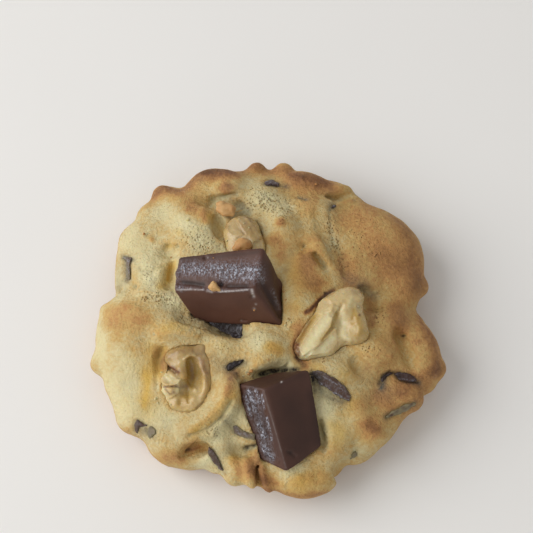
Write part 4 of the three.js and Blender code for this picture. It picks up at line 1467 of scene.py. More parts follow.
def make_dough():
    """The baked dough: lumps, pores and drawn relief, with its toasting painted on."""
    points, faces, normals = shell(dough_block(), 2)
    pixels = photo_pixels(points)
    seen = shown(points, normals)
    sponge = np.clip(drawn(pixels, SPONGY), 0, 1) * seen
    buried = np.zeros(len(points))
    for _, _, _, _, _, *outline in SHARDS.values():
        buried = np.maximum(buried, 1 - ramp(polygon_reach(pixels, outline), -0.5, 2.5))
    buried *= seen
    upright = ramp(points[:, 2], 0.6, 3.0) * (1 - 0.8 * buried)
    lumps = layered_noise(points, DOUGH_LUMPS)
    grain = layered_noise(points, DOUGH_GRAIN)
    pits = np.clip(PIT_REACH - cell_noise(points, PIT_SIZE, 11), 0, 1) * (0.1 + 1.1 * sponge)
    relief = drawn(pixels, DOUGH_RELIEF) * seen
    rise = (lumps + grain * (0.35 + 1.1 * sponge) - pits) * upright + relief
    rise = rise - UNDER_SHARDS * buried - DRAWN_BACK
    points = points + normals * rise[:, None]
    points = np.clip(points, CAD_LOW, CAD_HIGH)
    bulge = np.sum((points - smoothed(points, faces, 8)) * normals, axis=1)

    ways = (SIDEWAYS_WANDER, UP_AND_DOWN_WANDER)
    wander = np.stack([layered_noise(points, way) for way in ways], 1)
    strayed = pixels + BROAD_WANDER * wander
    close = pixels + CLOSE_WANDER * wander
    browning = BASE_BROWNING + BROWNING_STRENGTH * drawn(strayed, BROWNING) * seen
    low = 1 - ramp(points[:, 2], 1.5, RIM_LEVEL)
    side_tone = SIDE_BROWNING + layered_noise(points, SIDE_PATCHES)
    browning += RIM_BROWNING * low + (1 - seen) * side_tone
    browning += np.clip(bulge * BULGE_BROWNING, -0.1, 0.12)
    underside = ramp(-normals[:, 2], 0.6, 0.95)
    under_tone = UNDERSIDE_BROWNING + layered_noise(points, UNDERSIDE_PATCHES)
    browning = browning * (1 - underside) + under_tone * underside
    paint = {
        "browning": np.clip(browning, 0, 1),
        "butter": brushed(strayed, BUTTERY, seen),
        # Chocolate stains, and painted shade in hollows and beside the pieces
        "stain_and_shade": brushed(close, STAINS_AND_SHADE, seen),
        # Painted shade in creases and pits, with smears of chocolate
        "crevice_shade_and_smear": brushed(close, CREVICE_SHADE_AND_SMEARS, seen),
        "sponge": np.clip(sponge + 0.3 * underside, 0, 1),
    }
    return make_piece("baked_crumb", points, faces, paint, BAKED, ["dough"])


def faceted(points, facets, seen):
    """Broken faces made flat: each is its softness, its lift and its corners in the photograph."""
    for softness, lift, *corners in facets.values():
        part = (1 - ramp(polygon_reach(photo_pixels(points), corners), -softness, softness)) * seen
        away = points - np.average(points, axis=0, weights=part)
        _, _, ways = np.linalg.svd(away[part > 0.5], full_matrices=False)
        outward = ways[2] * -np.sign(ways[2] @ AHEAD)
        points = points + (part * (lift - away @ outward))[:, None] * outward
    return points


# The chunks' drawn detail: width in pixels, amount, path in the photograph's frame
UPPER_RELIEF = {
    "groove": (2.4, -0.45, (180, 283), (192, 284), (204, 286)),
    "notch": (2.4, -0.9, (221, 284)),
    "strip": (2.2, -0.45, (227, 286), (247, 286), (258, 285)),
    "band": (6, 0.3, (184, 270), (215, 271), (257, 273)),
    "edge": (1.3, 0.22, (177, 290), (204, 290)),
    "right edge": (1.3, 0.22, (216, 292), (249, 290)),
    "bend of the right face": (2.4, -0.4, (262, 286), (280, 316)),
    "chip": (1.6, -0.5, (205, 258)),
    "flake": (1.4, 0.45, (279, 280), (283, 292)),
    "low flake": (1.4, 0.5, (284, 300), (284, 308)),
    "front corner chip": (2, -0.4, (253, 297)),
    "front nick": (1.2, -0.3, (241, 321), (246, 321)),
    "left bulge": (4, 0.5, (177, 274)),
}
# Bloom with painted sheen and glints on the upper chunk's snapped top
UPPER_BLOOM_AND_GLINTS = {
    "band": (6, 1.3, (186, 269), (215, 269), (256, 270)),
    "band foot": (4, 0.6, (222, 278), (261, 279)),
    "left foot": (3.4, 0.5, (177, 283), (181, 288)),
    "left end": (3, 0.4, (177, 275)),
    "far strip": (2.4, 0.12, (234, 259), (259, 258)),
    "right face": (2, 0.3, (272, 290), (280, 308)),
    "front edge": (1.8, 0.35, (180, 288.5), (204, 288.5), (218, 291), (248, 289.5)),
}
# Scuffs and flecks, and a painted highlight along the front edge and corner of the upper chunk
UPPER_SCUFF_AND_HIGHLIGHTS = {
    "edge": (0.7, 0.45, (178, 289.8), (190, 289.4), (203, 289.8)),
    "right edge": (0.8, 0.55, (219, 291.6), (234, 290.8), (248, 289.6)),
    "corner": (1.4, 0.55, (251.5, 290), (253.5, 296.5)),
    "fleck": (1, 0.55, (256, 304)),
    "low fleck": (0.8, 0.25, (241, 321)),
    "tan flecks": (1.4, 0.3, (254, 309)),
    "under the crumb": (1, 0.4, (207, 291), (212, 292)),
    "far speck": (0.7, 0.35, (208, 257.6)),
}
# Painted shade in the upper chunk's grooves, along its far and bottom edges and on its right face, turned
# from the light
UPPER_SHADE = {
    "far edge": (2.4, 0.35, (182, 259), (210, 257.6), (258, 252)),
    "groove": (2.6, 0.8, (183, 282), (203, 284)),
    "notch": (2.6, 1, (221, 284)),
    "strip": (2.4, 0.7, (228, 286), (246, 286)),
    "crease": (3, 0.5, (262, 283), (281, 317)),
    "right face": (7, 0.35, (268, 268), (276, 300)),
    "bottom edge": (1.6, 0.4, (222, 325), (276, 324)),
}
LOWER_RELIEF = {
    "groove one": (1.2, -0.45, (251, 389), (256, 408), (262, 430)),
    "groove two": (1.2, -0.35, (245, 390), (251, 412)),
    "groove three": (1.2, -0.4, (259, 392), (262, 410), (268, 438)),
    "foot": (2, -0.5, (267, 457), (273, 461)),
    "dent": (1.8, -0.35, (289, 452), (295, 456)),
    "dent rim": (1.2, 0.15, (287, 449), (294, 449)),
    "nick one": (1.4, -0.4, (252, 418)),
    "nick two": (1.3, -0.4, (258, 434)),
    "edge": (1.2, 0.2, (264, 391), (270, 420), (279, 462)),
}
# Bloom with painted glints along the lower chunk's left face
LOWER_BLOOM_AND_GLINTS = {
    "streak one": (1.5, 1.7, (248, 391), (252, 402), (254, 411)),
    "streak two": (1.2, 1.7, (262, 393), (264, 408)),
    "streak three": (1.2, 1.6, (256, 391), (259, 402)),
    "streak four": (1.6, 0.9, (245, 396), (250, 416)),
    "streak five": (1.6, 1.2, (259, 425), (264, 437)),
    "streak six": (1.2, 1.1, (267, 418), (272, 440)),
    "foot": (2.2, 1.2, (266, 450), (272, 458)),
    "foot left": (1.8, 0.8, (262, 443), (265, 452)),
    "whole side": (6, 0.3, (252, 395), (262, 430), (270, 458)),
    "left corner": (2, 0.3, (240, 386)),
}
# A fleck, and a painted highlight along the edge of the lower chunk
LOWER_SCUFF_AND_HIGHLIGHTS = {
    "fleck": (0.9, 0.7, (281.4, 381.7)),
    "edge": (0.6, 0.12, (264, 391), (286, 468)),
}
# Painted shade on the lower chunk's faces turned from the light, on its top and in its dent
LOWER_SHADE = {
    "side": (9, 0.45, (248, 395), (262, 430), (268, 455)),
    "right edge": (5, 0.25, (312, 395), (320, 440)),
    "dent": (2, 0.35, (291, 453)),
    "whole face": (26, 0.5, (292, 405), (300, 440)),
    "top": (6, 0.4, (255, 384), (300, 373)),
}


# A chunk's faces: the broad waves of all of them, the height of the streaks on the snapped
# ones, and how torn the faces are that the photograph doesn't show
CHUNK_WAVES = [(5, 0.12, 35), (1.8, 0.04, 37)]
STREAK_HEIGHT = 0.16
HIDDEN_TORN = 0.35


def make_chunk(name, node, chunk, details):
    """A chunk snapped off a bar: smooth moulded faces, and rough ones where it broke."""
    relief, bloom_and_glint, scuff_and_highlight, deep = details
    corners = chunk_corners(chunk)
    planes = hull_planes(corners)
    block = Block(corners.min(axis=0) - 1, corners.max(axis=0) + 1, CHUNK_STEP)
    points, faces, normals = shell(block.shape(lambda p: planes_distance(p, planes)), 1)
    pixels = photo_pixels(points)
    seen = shown(points, normals)
    # Bloom and painted glints drawn on the snapped faces
    bloom_glint_drawn = np.clip(drawn(pixels, bloom_and_glint), 0, 1.3) * seen
    torn = np.clip(bloom_glint_drawn, 0, 1) + HIDDEN_TORN * (1 - seen)
    streaks = smooth_noise(points * (1.0, 0.6, 0.9), 0.6, 31)
    streaks += 0.8 * smooth_noise(points * (1.0, 0.8, 0.9), 0.38, 33)
    rise = torn * STREAK_HEIGHT * streaks + layered_noise(points, CHUNK_WAVES)
    rise = rise + drawn(pixels, relief) * seen
    points = points + normals * rise[:, None]
    paint = {
        # Bloom with painted glints
        "bloom_and_glint": np.clip(bloom_glint_drawn * (0.75 + 0.45 * streaks), 0, 1),
        # Scuffs, with a painted highlight along the edges
        "scuff_and_highlight": np.clip(drawn(pixels, scuff_and_highlight) * seen * (1 + 0.5 * streaks), 0, 1),
        # Painted shade in grooves and on faces turned from the light
        "deep": brushed(pixels, deep, seen),
        "film": np.zeros(len(points)),
    }
    return make_piece(name, points, faces, paint, DARK_CHOCOLATE, [node])


# Broken faces of the nuts: softness in pixels, lift in millimetres, corners in the photograph's frame
NUT_FACETS = {
    "walnut_right": {
        "left side": (
            0.8, -0.45, (313, 312), (322, 315), (305, 336.5), (299.5, 348), (295, 342), (302, 326),
        ),
        "right flap": (
            0.7, -0.1, (334.6, 327), (337, 334), (337.4, 344), (326, 353), (308, 356),
            (320.4, 344.2), (329, 336),
        ),
        "cut face": (
            0.45, -0.15, (322.5, 314), (332.8, 317.6), (331, 327), (321, 340),
            (315, 346.5), (303, 357), (299.5, 350), (305, 336.5),
        ),
        "groove": (
            0.7, -0.25, (333.6, 317), (337, 311), (339.6, 314), (335, 328), (326, 338), (317, 346),
            (321.4, 340), (332, 326),
        ),
        "left shoulder": (1.6, -0.1, (317, 303.5), (323.5, 298.6), (334, 303.5), (333, 313), (321, 312)),
        "right facet": (0.6, -0.1, (349.4, 329), (355, 323), (359, 328), (357.6, 334), (351, 335)),
    },
    "walnut_left": {
        "upper flake": (
            0.35, 0.35, (158.6, 374), (164, 371.6), (172.4, 376.4), (182.6, 380.8), (180.2, 386.2),
            (165.4, 386), (159.8, 382),
        ),
        "lower flake": (
            0.35, 0.2, (160.8, 390.4), (166, 387.8), (174, 387.6), (171.6, 393), (174, 396),
            (168.6, 401), (167, 405.4), (161.6, 405), (159.6, 397),
        ),
        "side flake": (0.35, 0.4, (174, 387.8), (179, 388), (179.6, 392.6), (173.6, 396.4), (171.8, 393)),
    },
    "walnut_top": {
        "ledge": (0.6, -0.3, (254, 241.4), (262.8, 240.6), (263, 250), (252, 251)),
        "grey side": (1.4, -0.25, (228, 221), (235, 217), (243, 234), (236, 238), (228, 231)),
    },
}
NUT_RELIEF = {
    "walnut_right": {
        "upper groove": (1.8, -0.35, (341.5, 306), (337, 315)),
        "right valley": (3.4, -0.25, (354, 311), (352.6, 321)),
        "cream ridge": (3.4, 0.22, (352, 297), (346.4, 310), (343.6, 326), (344, 335), (350, 341)),
        "ledge nick": (1.3, -0.25, (331.6, 303.4), (340, 306)),
        "side fold": (2, -0.15, (358.4, 305), (359.6, 318)),
        "top cap": (6, 0.25, (347, 291)),
        "right shoulder": (3.4, 0.5, (359.6, 298)),
        "right lobe": (3.4, 0.3, (363.6, 326)),
        "foot nick": (1.3, -0.25, (346.6, 342.4)),
    },
    "walnut_left": {
        "hollow": (4.2, -1, (191, 362), (192.6, 374), (190.6, 382)),
        "rim of the hollow": (1.1, 0.35, (184.6, 359), (189, 355.6), (195, 355.4)),
        "crescent": (2.6, 0.35, (199, 363), (204.6, 374), (206, 387), (201, 399)),
        "bright lobe": (2.8, 0.6, (195.6, 390)),
        "groove": (1.6, -0.3, (187.6, 389), (188.4, 402)),
        "top lobe": (4, 0.12, (178, 352)),
        "centre lobe": (3.6, 0.7, (180.4, 369), (184, 377)),
        "crack": (0.9, -0.45, (164, 387), (178, 386.4)),
        "gap over the flake": (1.5, -0.8, (166, 367), (175, 372)),
        "amber foot": (3.4, -0.5, (180, 402)),
    },
    "walnut_top": {
        "ledge": (1, -0.35, (237.6, 224), (241, 229.6), (244, 233.6)),
        "valley": (2.4, -0.5, (239, 232)),
        "edge": (1.6, 0.3, (247, 219), (254, 228), (259.6, 236)),
        "step": (1, -0.3, (256.6, 240), (263, 240)),
    },
}
# Cream of the cut flesh, and painted highlights on a few lobes and specks
NUT_CREAMY_AND_HIGHLIGHTED = {
    "walnut_right": {
        "facet": (2.2, 0.3, (354, 328)),
        "top": (5, 0.2, (344, 292)),
        "right foot": (3, 0.5, (355, 338)),
        "middle": (2.4, 0.35, (334, 321)),
        "cut": (5.5, 1, (327, 319), (316, 334), (304, 353)),
        "shoulder": (4, 0.15, (325, 307)),
        "ridge": (3.2, 0.75, (341, 309), (343.4, 326), (343.6, 335), (348, 339)),
        "foot": (5, 0.6, (306, 355), (322, 353)),
        "flap": (4, 0.8, (332, 338), (324, 348)),
        "upper ridge": (2.4, 0.35, (352, 297), (348, 306)),
    },
    "walnut_left": {
        "upper flake": (3.8, 1.1, (162, 375.6), (170, 379), (179, 382.6)),
        "lower flake": (4, 1.3, (163, 391), (164, 402)),
        "side flake": (2.8, 1.1, (177, 391), (184, 384)),
        # Painted highlight on the bright lobe
        "bright lobe": (3, 0.5, (196, 389)),
        "rim": (1.1, 0.5, (185, 358.5), (190, 355), (195, 355.5)),
        "left rim": (2, 0.9, (173, 368)),
        "low crescent": (3, 0.15, (200, 398)),
    },
    "walnut_top": {
        "pale side": (6, 0.3, (231, 228), (237, 236)),
        "wedge": (3, 0.3, (259, 245)),
        # Painted glints on the rear walnut
        "flecks": (1.4, 0.4, (239.4, 220.5), (243.5, 223)),
    },
}
NUT_AMBERED = {
    "walnut_right": {
        "groove": (2.6, 0.9, (337, 315), (331, 329), (322, 340)),
        "upper groove": (1.8, 0.7, (341.4, 306), (337, 315.6)),
        "right lobe": (5, 0.85, (358, 318), (362, 332), (356, 336)),
        "right valley": (2.8, 0.85, (354, 310), (352.8, 324)),
        "left side": (3.6, 1, (313, 317), (306, 327), (299, 340)),
    },
    "walnut_left": {
        "top lobe": (5, 0.35, (176, 352), (190, 350)),
        "crescent": (3.4, 0.3, (203, 362), (206, 380)),
        "whole": (40, 0.34, (186, 376)),
        "deep hollow": (2.6, 1.2, (189.6, 360), (190, 372)),
        "hollow": (3.4, 1.1, (190.6, 361), (192.6, 373), (190.6, 385)),
        "lower side": (5, 0.9, (184, 397), (180, 404)),
        "groove": (2, 0.5, (187, 390), (188, 403)),
        "centre lobe": (4, 0.35, (183, 372), (186, 382)),
        "between": (3, 0.3, (199, 372), (200, 384)),
    },
    "walnut_top": {
        "whole": (40, 0.3, (245, 232)),
        "low side": (4, 0.35, (252, 234)),
        "left side": (3, 0.4, (226, 228)),
    },
}
NUT_SKINNED = {
    "walnut_right": {
        "left side": (3, 0.6, (309, 322), (298, 342)),
        "shoulder": (4, 0.12, (324, 306)),
        "top lobe": (6, 0.14, (340, 291), (354, 292)),
        "red scrap": (1.6, 0.9, (361, 291.5)),
        "side scrap": (1.3, 1, (359.4, 315)),
        "pale scrap": (1.6, 0.4, (358.6, 307)),
        "right edge": (1, 1, (367.4, 322), (370, 331)),
        "tip": (3.9, 2.6, (294.6, 347), (295.6, 354)),
        "tip edge": (1.6, 1.2, (296, 354)),
        "top edge": (1.1, 0.7, (327, 296), (334, 291)),
    },
    "walnut_left": {
        "whole": (40, 0.12, (190, 376)),
        "top": (6, 0.4, (168, 356), (178, 349), (202, 349)),
        "upper crescent": (4.6, 0.55, (200, 358), (206, 372)),
        "red scrap": (3.2, 0.9, (164, 366), (172, 368), (178, 372)),
        "crack": (1, 0.8, (164, 387), (178, 386.2)),
        "red end": (2.6, 0.55, (181, 387), (186, 386)),
        "low line": (1, 0.6, (165.4, 389), (170, 394.6), (174, 392)),
        "crescent": (2, 0.2, (207, 378), (208, 388)),
        "foot": (1.2, 0.6, (203, 402), (196, 408)),
        "hollow": (2.4, 0.35, (191.6, 366), (192, 378)),
    },
    "walnut_top": {
        "left side": (3, 0.35, (226, 226)),
        "whole": (16, 0.46, (245, 226)),
        "far edge": (1.2, 0.5, (242, 214), (250, 219)),
    },
}


# Unevenness of the nuts: size, height and seed; then the rough break of the left one's flakes
NUT_WRINKLES = [(2.6, 0.14, 0), (0.9, 0.05, 1)]
NUT_ROUGHNESS = [(0.7, 0.07, 2)]
FLAKE_BREAK = {"flakes": (9, 1.0, (166, 378), (164, 398))}
FLAKE_ROUGHNESS = [(0.8, 0.22, 3)]
HIDDEN_SKIN = 0.05


def make_walnut(node, piece_name, seed):
    """A walnut piece: lobes, broken faces and grooves, with its colours painted on."""
    nut = WALNUTS[node]
    block = Block(*nut_box(nut), NUT_STEP).shape(lambda p: walnut_distance(p, nut))
    points, faces, normals = shell(block, 1)
    pixels = photo_pixels(points)
    seen = shown(points, normals)
    rise = layered_noise(points, NUT_WRINKLES, seed) + drawn(pixels, NUT_RELIEF[node]) * seen
    points = points + normals * rise[:, None]
    points = faceted(points, NUT_FACETS[node], seen)
    pixels = photo_pixels(points)
    rough = layered_noise(points, NUT_ROUGHNESS, seed)
    if node == "walnut_left":
        broken = np.clip(drawn(pixels, FLAKE_BREAK), 0, 1) * seen
        rough = rough + broken * layered_noise(points, FLAKE_ROUGHNESS, seed)
    points = points + normals * rough[:, None]
    paint = {
        # Cream of the flesh, with painted highlights
        "cream_and_highlight": brushed(pixels, NUT_CREAMY_AND_HIGHLIGHTED[node], seen),
        "amber": brushed(pixels, NUT_AMBERED[node], seen),
        "skin": brushed(pixels, NUT_SKINNED[node], seen) + HIDDEN_SKIN * (1 - seen),
    }
    return make_piece(piece_name, points, faces, paint, WALNUT, [node])


# Shards of chocolate lying flush in the dough: how far the top stands proud, the
# thickness, the grey sheen with painted glints, the darkness, partly painted shade, and the film
# of dough, each from 0 to 1, then the outline in the photograph's frame
SHARDS = {
    "shard_in_pit": (
        -0.2, 2.6, 0.15, 0.9, 0,
        (202, 314), (219, 321), (243.5, 322), (243, 332), (241, 341), (233, 337.6), (224, 333),
        (213, 326),
    ),
    "shard_centre": (
        0.35, 2.4, 0.05, 0.95, 0,
        (226, 367), (229.7, 363.5), (236, 361), (244, 359.8), (239.5, 365.3), (233, 369.5),
        (227.6, 370.8),
    ),
    "shard_right_of_chunk": (
        0.45, 3, 0.16, 0.15, 0.1,
        (311, 371), (319, 371), (326, 373.5), (334, 378), (344, 385.5), (350.5, 395.5), (349, 401),
        (339, 396.5), (329, 390.5), (320, 384), (313, 377),
    ),
    "shard_right_edge": (
        0.35, 2.4, 0.1, 0.35, 0,
        (395.5, 374), (400, 371.6), (409.6, 374), (415.4, 378.4), (418, 382), (406, 381.4),
        (398, 378.8),
    ),
    "shard_right_arc": (
        0.3, 1.8, 0.1, 0.6, 0,
        (379.4, 380), (384.2, 374.4), (390, 371.4), (394, 373.4), (387, 376.6), (382.4, 382.4),
    ),
    "shard_lower_right": (
        0.12, 2, 0.1, 0.2, 0.75,
        (385.2, 416.6), (394.5, 410.4), (404, 404.6), (413, 401.8), (415.8, 403.8), (406.4, 411),
        (396, 415.6), (387.6, 418.6),
    ),
    "chip_left_upper": (
        0.2, 1.8, 0.15, 0.3, 0.1,
        (134.2, 427), (135, 422.3), (138.3, 420), (142, 421.2), (146.4, 425), (142.6, 427),
        (139.6, 426.6),
        (138, 430), (137, 433), (135.2, 431.7),
    ),
    "chip_left_lower": (
        0.12, 1.8, 0.3, 0.1, 0.6,
        (148.4, 426.6), (152.6, 426), (155.6, 429.6), (155.8, 433.6), (153, 434.8), (150.4, 439.2),
        (147.6, 437), (147.2, 431.7),
    ),
    "shard_bottom": (
        0.25, 2.2, 0.14, 0.3, 0.15,
        (208.6, 446.6), (213.8, 451), (219.6, 461.6), (222.6, 470), (219, 469.4), (212.4, 461.2),
        (207.6, 453),
    ),
    "shard_lower_centre": (
        0.15, 2.2, 0.25, 0.15, 0.5,
        (231.6, 425), (237.8, 425.4), (242.6, 430.6), (254.4, 434.4), (254.8, 440.4), (247, 438.4),
        (239, 436), (233.4, 432.6),
    ),
    "chip_left_edge": (
        0.12, 1.8, 0.4, 0, 0.4,
        (122.4, 256.4), (133.4, 257), (131, 261.4), (130.2, 270), (130.4, 279.6), (127, 279.4),
        (126.4, 270), (126, 261),
    ),
    "chip_rear": (
        0.25, 1.8, 0.4, 0.3, 0,
        (264, 183.4), (267.6, 180.6), (273.4, 180.4), (279.8, 184), (278, 186.6), (272, 185.4),
        (265.2, 185),
    ),
    "chip_rear_right": (
        0.2, 1.4, 0.3, 0.6, 0,
        (330, 207.6), (333.2, 205.2), (336.2, 205.2), (334.4, 208), (331.2, 208.6),
    ),
    "chip_front": (
        0.15, 1.6, 0.3, 0, 0.75,
        (355.2, 450.2), (357.8, 455.6), (355, 458), (350, 459.4),
    ),
}

# Millimetres to a pixel of the photograph, at the height of the dough
PHOTO_PIXEL = 0.253

# Painted sheen and glints, and painted shade with darker chocolate, on single shards: width, amount and
# path
SHARD_SHEEN_AND_GLINTS = {
    "right chip edge": (1.2, 0.8, (319, 383), (330, 391), (344, 398.5)),
    "right chip tip": (1.6, 0.5, (348, 399)),
    "right chip ridge": (0.7, 0.4, (323, 376.5), (336, 384), (345, 392)),
    "pit": (2.4, 0.5, (240, 328), (240, 337)),
    "left edge chip": (1.6, 0.3, (128, 262), (128, 276)),
    "right edge chip": (0.9, 0.3, (402, 379), (413, 381)),
}
SHARD_SHADE_AND_DARK = {
    "right chip end": (5, 0.8, (311, 373), (318, 378)),
    "right edge chip": (4, 0.5, (398, 376)),
    "arc": (5, 0.3, (385, 376)),
}


# Levels at which the dough's surface is looked for
LEVELS = np.arange(3, 26, 0.05)


def dough_level(pixel):
    """Height of the dough's surface where it shows at a place in the photograph's frame."""
    spots = np.array([spot_at(pixel, level) for level in LEVELS])
    return LEVELS[np.nonzero(dough_distance(spots) < 0)[0][-1]]


# A shard's uneven outline, in pixels, and the ridges and glints of its top: size, height, seed
SHARD_OUTLINE = [(1.2, 1.1, 50), (0.55, 0.7, 250)]
SHARD_RIDGES = [(0.6, 1.0, 60)]
SHARD_GLINTS = [(0.4, 1.0, 160)]
RIDGE_HEIGHT = 0.1
FILM_PATCHES = [(1.3, 0.9, 170)]


def make_shard(node, number):
    """A shard whose top follows the dough, with a soft, slightly ragged outline."""
    proud, thickness, sheen, depth, film, *outline = SHARDS[node]
    outline = np.array(outline, float)
    level = dough_level(outline.mean(axis=0))
    spots = np.array([spot_at(corner, level) for corner in outline])
    low = spots.min(axis=0) - (1, 1, thickness + 1.5)
    high = spots.max(axis=0) + (1, 1, 2.5)

    def distance(points):
        ragged = layered_noise(points, SHARD_OUTLINE, number)
        side = (polygon_reach(photo_pixels(points), outline) + ragged) * PHOTO_PIXEL
        surface_away = dough_distance(points)
        body = soft_max(side, surface_away - proud, 0.45)
        return soft_max(body, -surface_away - thickness, 0.5)

    points, faces, normals = shell(Block(low, high, SHARD_STEP).shape(distance), 1)
    ridges = layered_noise(points * (1.0, 1.0, 0.5), SHARD_RIDGES, number)
    glints = layered_noise(points, SHARD_GLINTS, number)
    points = points + normals * (RIDGE_HEIGHT * ridges)[:, None]
    pixels = photo_pixels(points)
    edge = ramp(polygon_reach(pixels, outline), -2.2, 0.2)
    patches = layered_noise(points, FILM_PATCHES, number)
    # Painted sheen and glints on the shard
    sheen = sheen + drawn(pixels, SHARD_SHEEN_AND_GLINTS)
    paint = {
        "bloom_and_glint": np.clip(sheen * (0.8 + 0.8 * ridges + 0.5 * glints), 0, 1),
        "scuff_and_highlight": np.zeros(len(points)),
        # Darker chocolate, and painted shade in the pit
        "deep": np.clip(depth + drawn(pixels, SHARD_SHADE_AND_DARK), 0, 1),
        "film": np.clip(film * (0.8 + 0.9 * edge + patches), 0, 1),
    }
    return make_piece(node + "_sliver", points, faces, paint, DARK_CHOCOLATE, [node])


# Toasted crumbs of nut: centre, half sizes and turn, close to those of the solids, then
# the round lobes that they are made of, in parts of the half sizes
CRUMBS = {
    "crumb_on_chunk": ((-13.3, 5, 27), (2.2, 1.3, 1.3), -34),
    "crumb_golden_front": ((-6.4, 18.2, 22.6), (2.4, 2, 1.7), 6),
    "crumb_golden_rear": ((-10.8, 29.3, 20.4), (2.7, 2.1, 1.8), -20),
}
CRUMB_LOBES = {
    "crumb_on_chunk": [(0, 0, 0, 0.95)],
    "crumb_golden_front": [(0.1, 0.05, 0, 0.9), (-0.5, -0.35, -0.1, 0.55), (0.4, -0.3, 0, 0.6)],
    "crumb_golden_rear": [
        (-0.5, 0.3, 0.1, 0.55), (0.35, 0.25, 0.05, 0.6), (0.05, -0.35, 0, 0.62),
        (-0.55, -0.3, -0.1, 0.4), (0.65, -0.3, 0, 0.4),
    ],
}
CRUMB_TOAST = {"crumb_on_chunk": -0.1, "crumb_golden_front": 0.25, "crumb_golden_rear": 0.1}
CRUMB_ROUGHNESS = [(0.9, 0.18, 0), (0.45, 0.06, 1)]
CRUMB_TONES = [(1.2, 0.25, 2)]

# The crumb on the chunk is chipped flat on three sides: their directions and how far out
CHIPPED_WAYS = (25, 145, 265)
CHIPPED_REACH = 1.05


def make_crumb(node, seed):
    """A crumb of a few rounded lobes with a rough face."""
    centre, half, turn = CRUMBS[node]
    centre = np.array(centre, float)
    angle = math.radians(turn)
    c = math.cos(angle)
    s = math.sin(angle)

    def distance(points):
        x, y, z = points.T
        field = None
        for u, v, w, size in CRUMB_LOBES[node]:
            along = u * half[0]
            aside = v * half[1]
            at = centre + (c * along - s * aside, s * along + c * aside, w * half[2])
            lobe = ellipsoid_distance(x, y, z, at, [h * size for h in half], angle)
            field = lobe if field is None else soft_min(field, lobe, 0.5)
        if node == "crumb_on_chunk":
            for tilt in CHIPPED_WAYS:
                way = np.array([math.cos(math.radians(tilt)), math.sin(math.radians(tilt)), 0.35])
                away = (points - centre) @ (way / np.linalg.norm(way)) - CHIPPED_REACH
                field = soft_max(field, away, 0.35)
        return field + layered_noise(points, CRUMB_ROUGHNESS, seed)

    reach = max(half) + 1
    block = Block(centre - reach, centre + reach, CRUMB_STEP).shape(distance)
    points, faces, _ = shell(block, 1)
    toast = layered_noise(points, CRUMB_TONES, seed) + CRUMB_TOAST[node]
    return make_piece(node + "_lump", points, faces, {"toast": toast}, TOASTED, [node])


# Loose crumbs: place in the photograph's frame and radius in millimetres
PALE_CRUMBS = [
    # The crumbs at 239.5, 219.5 and 243.5, 223.5 are pale specks on the rear walnut that stand in for its
    # glints, a painted highlight
    (224, 239, 0.5), (227, 241, 0.35), (239.5, 219.5, 0.3), (243.5, 223.5, 0.25), (249, 228, 0.25),
    (188, 220, 0.45), (343.5, 294, 0.22), (335.6, 329, 0.25), (358, 306.5, 0.3), (156, 399, 0.4),
    (158, 403, 0.35), (162, 372.5, 0.35), (205, 340.5, 0.3), (200, 342, 0.25), (184, 341, 0.25),
    (288, 321, 0.3), (291, 323, 0.25), (285, 325, 0.3), (293, 319, 0.2), (318, 372, 0.3),
    (321, 376, 0.25), (243, 376, 0.3), (246, 372, 0.3), (171, 405, 0.3), (199, 247, 0.3),
    (206, 243, 0.3), (271, 355, 0.25), (342, 409, 0.25), (147, 234, 0.3), (302, 250, 0.2),
]
TOASTED_CRUMBS = [
    (171, 257.5, 0.3), (251, 371, 0.55), (249, 374, 0.4), (144, 234, 0.4), (254.5, 310, 0.3),
    (213.5, 258, 0.2), (316, 184.5, 0.4), (316, 300, 0.3), (183, 270, 0.15), (353, 247, 0.25),
    (208, 248, 0.25), (286, 300, 0.3), (284, 292, 0.3), (290, 327, 0.2), (268, 360, 0.2),
]


# Loose crumbs: how uneven they are, and how deep they sit, in parts of their radius
LOOSE_UNEVENNESS = 0.55
LOOSE_SUNK = 0.3


def scatter_crumbs(name, places, pieces, seed, tones, material):
    """Small crumbs of one kind as a single mesh, each set on the piece that carries it."""
    trees = [BVHTree.FromObject(p, bpy.context.evaluated_depsgraph_get()) for p in pieces]
    origin = Vector((CAMERA_PLACE - PLAN_CENTRE) * MM)
    base = bmesh.new()
    bmesh.ops.create_icosphere(base, subdivisions=2, radius=1)
    ball = np.array([v.co for v in base.verts])
    rings = np.array([[v.index for v in f.verts] for f in base.faces])
    base.free()
    points = []
    faces = []
    for i, (px, py, radius) in enumerate(places):
        hits = [tree.ray_cast(origin, Vector(photo_ray((px, py)))) for tree in trees]
        hits = [h for h in hits if h[0] is not None]
        if not hits:
            continue
        place, normal, _, _ = min(hits, key=lambda h: h[3])
        middle = np.array(place) / MM + PLAN_CENTRE + np.array(normal) * radius * LOOSE_SUNK
        shape = ball * (1 + LOOSE_UNEVENNESS * smooth_noise(ball + i * 7.3, 0.8, seed))[:, None]
        shape = shape * (0.9, 0.6 + 0.05 * (i % 5), 0.6)
        faces.append(rings + len(ball) * len(points))
        points.append(middle + shape * radius)
    points = np.concatenate(points)
    paint = {key: np.full(len(points), tone) for key, tone in tones.items()}
    return make_piece(name, points, np.concatenate(faces), paint, material)


STUDIO_TINT = (1.0, 0.995, 0.985)
SURROUND_STRENGTH = 0.43

# Lamps: direction from the cookie, distance and width in metres, power in watts
LIGHTS = [
    ("key", (-0.82, 0.03, 0.58), 1.1, 1.25, 11.1),
    ("fill", (-0.2, -0.9, 0.6), 1.1, 0.9, 1.1),
]


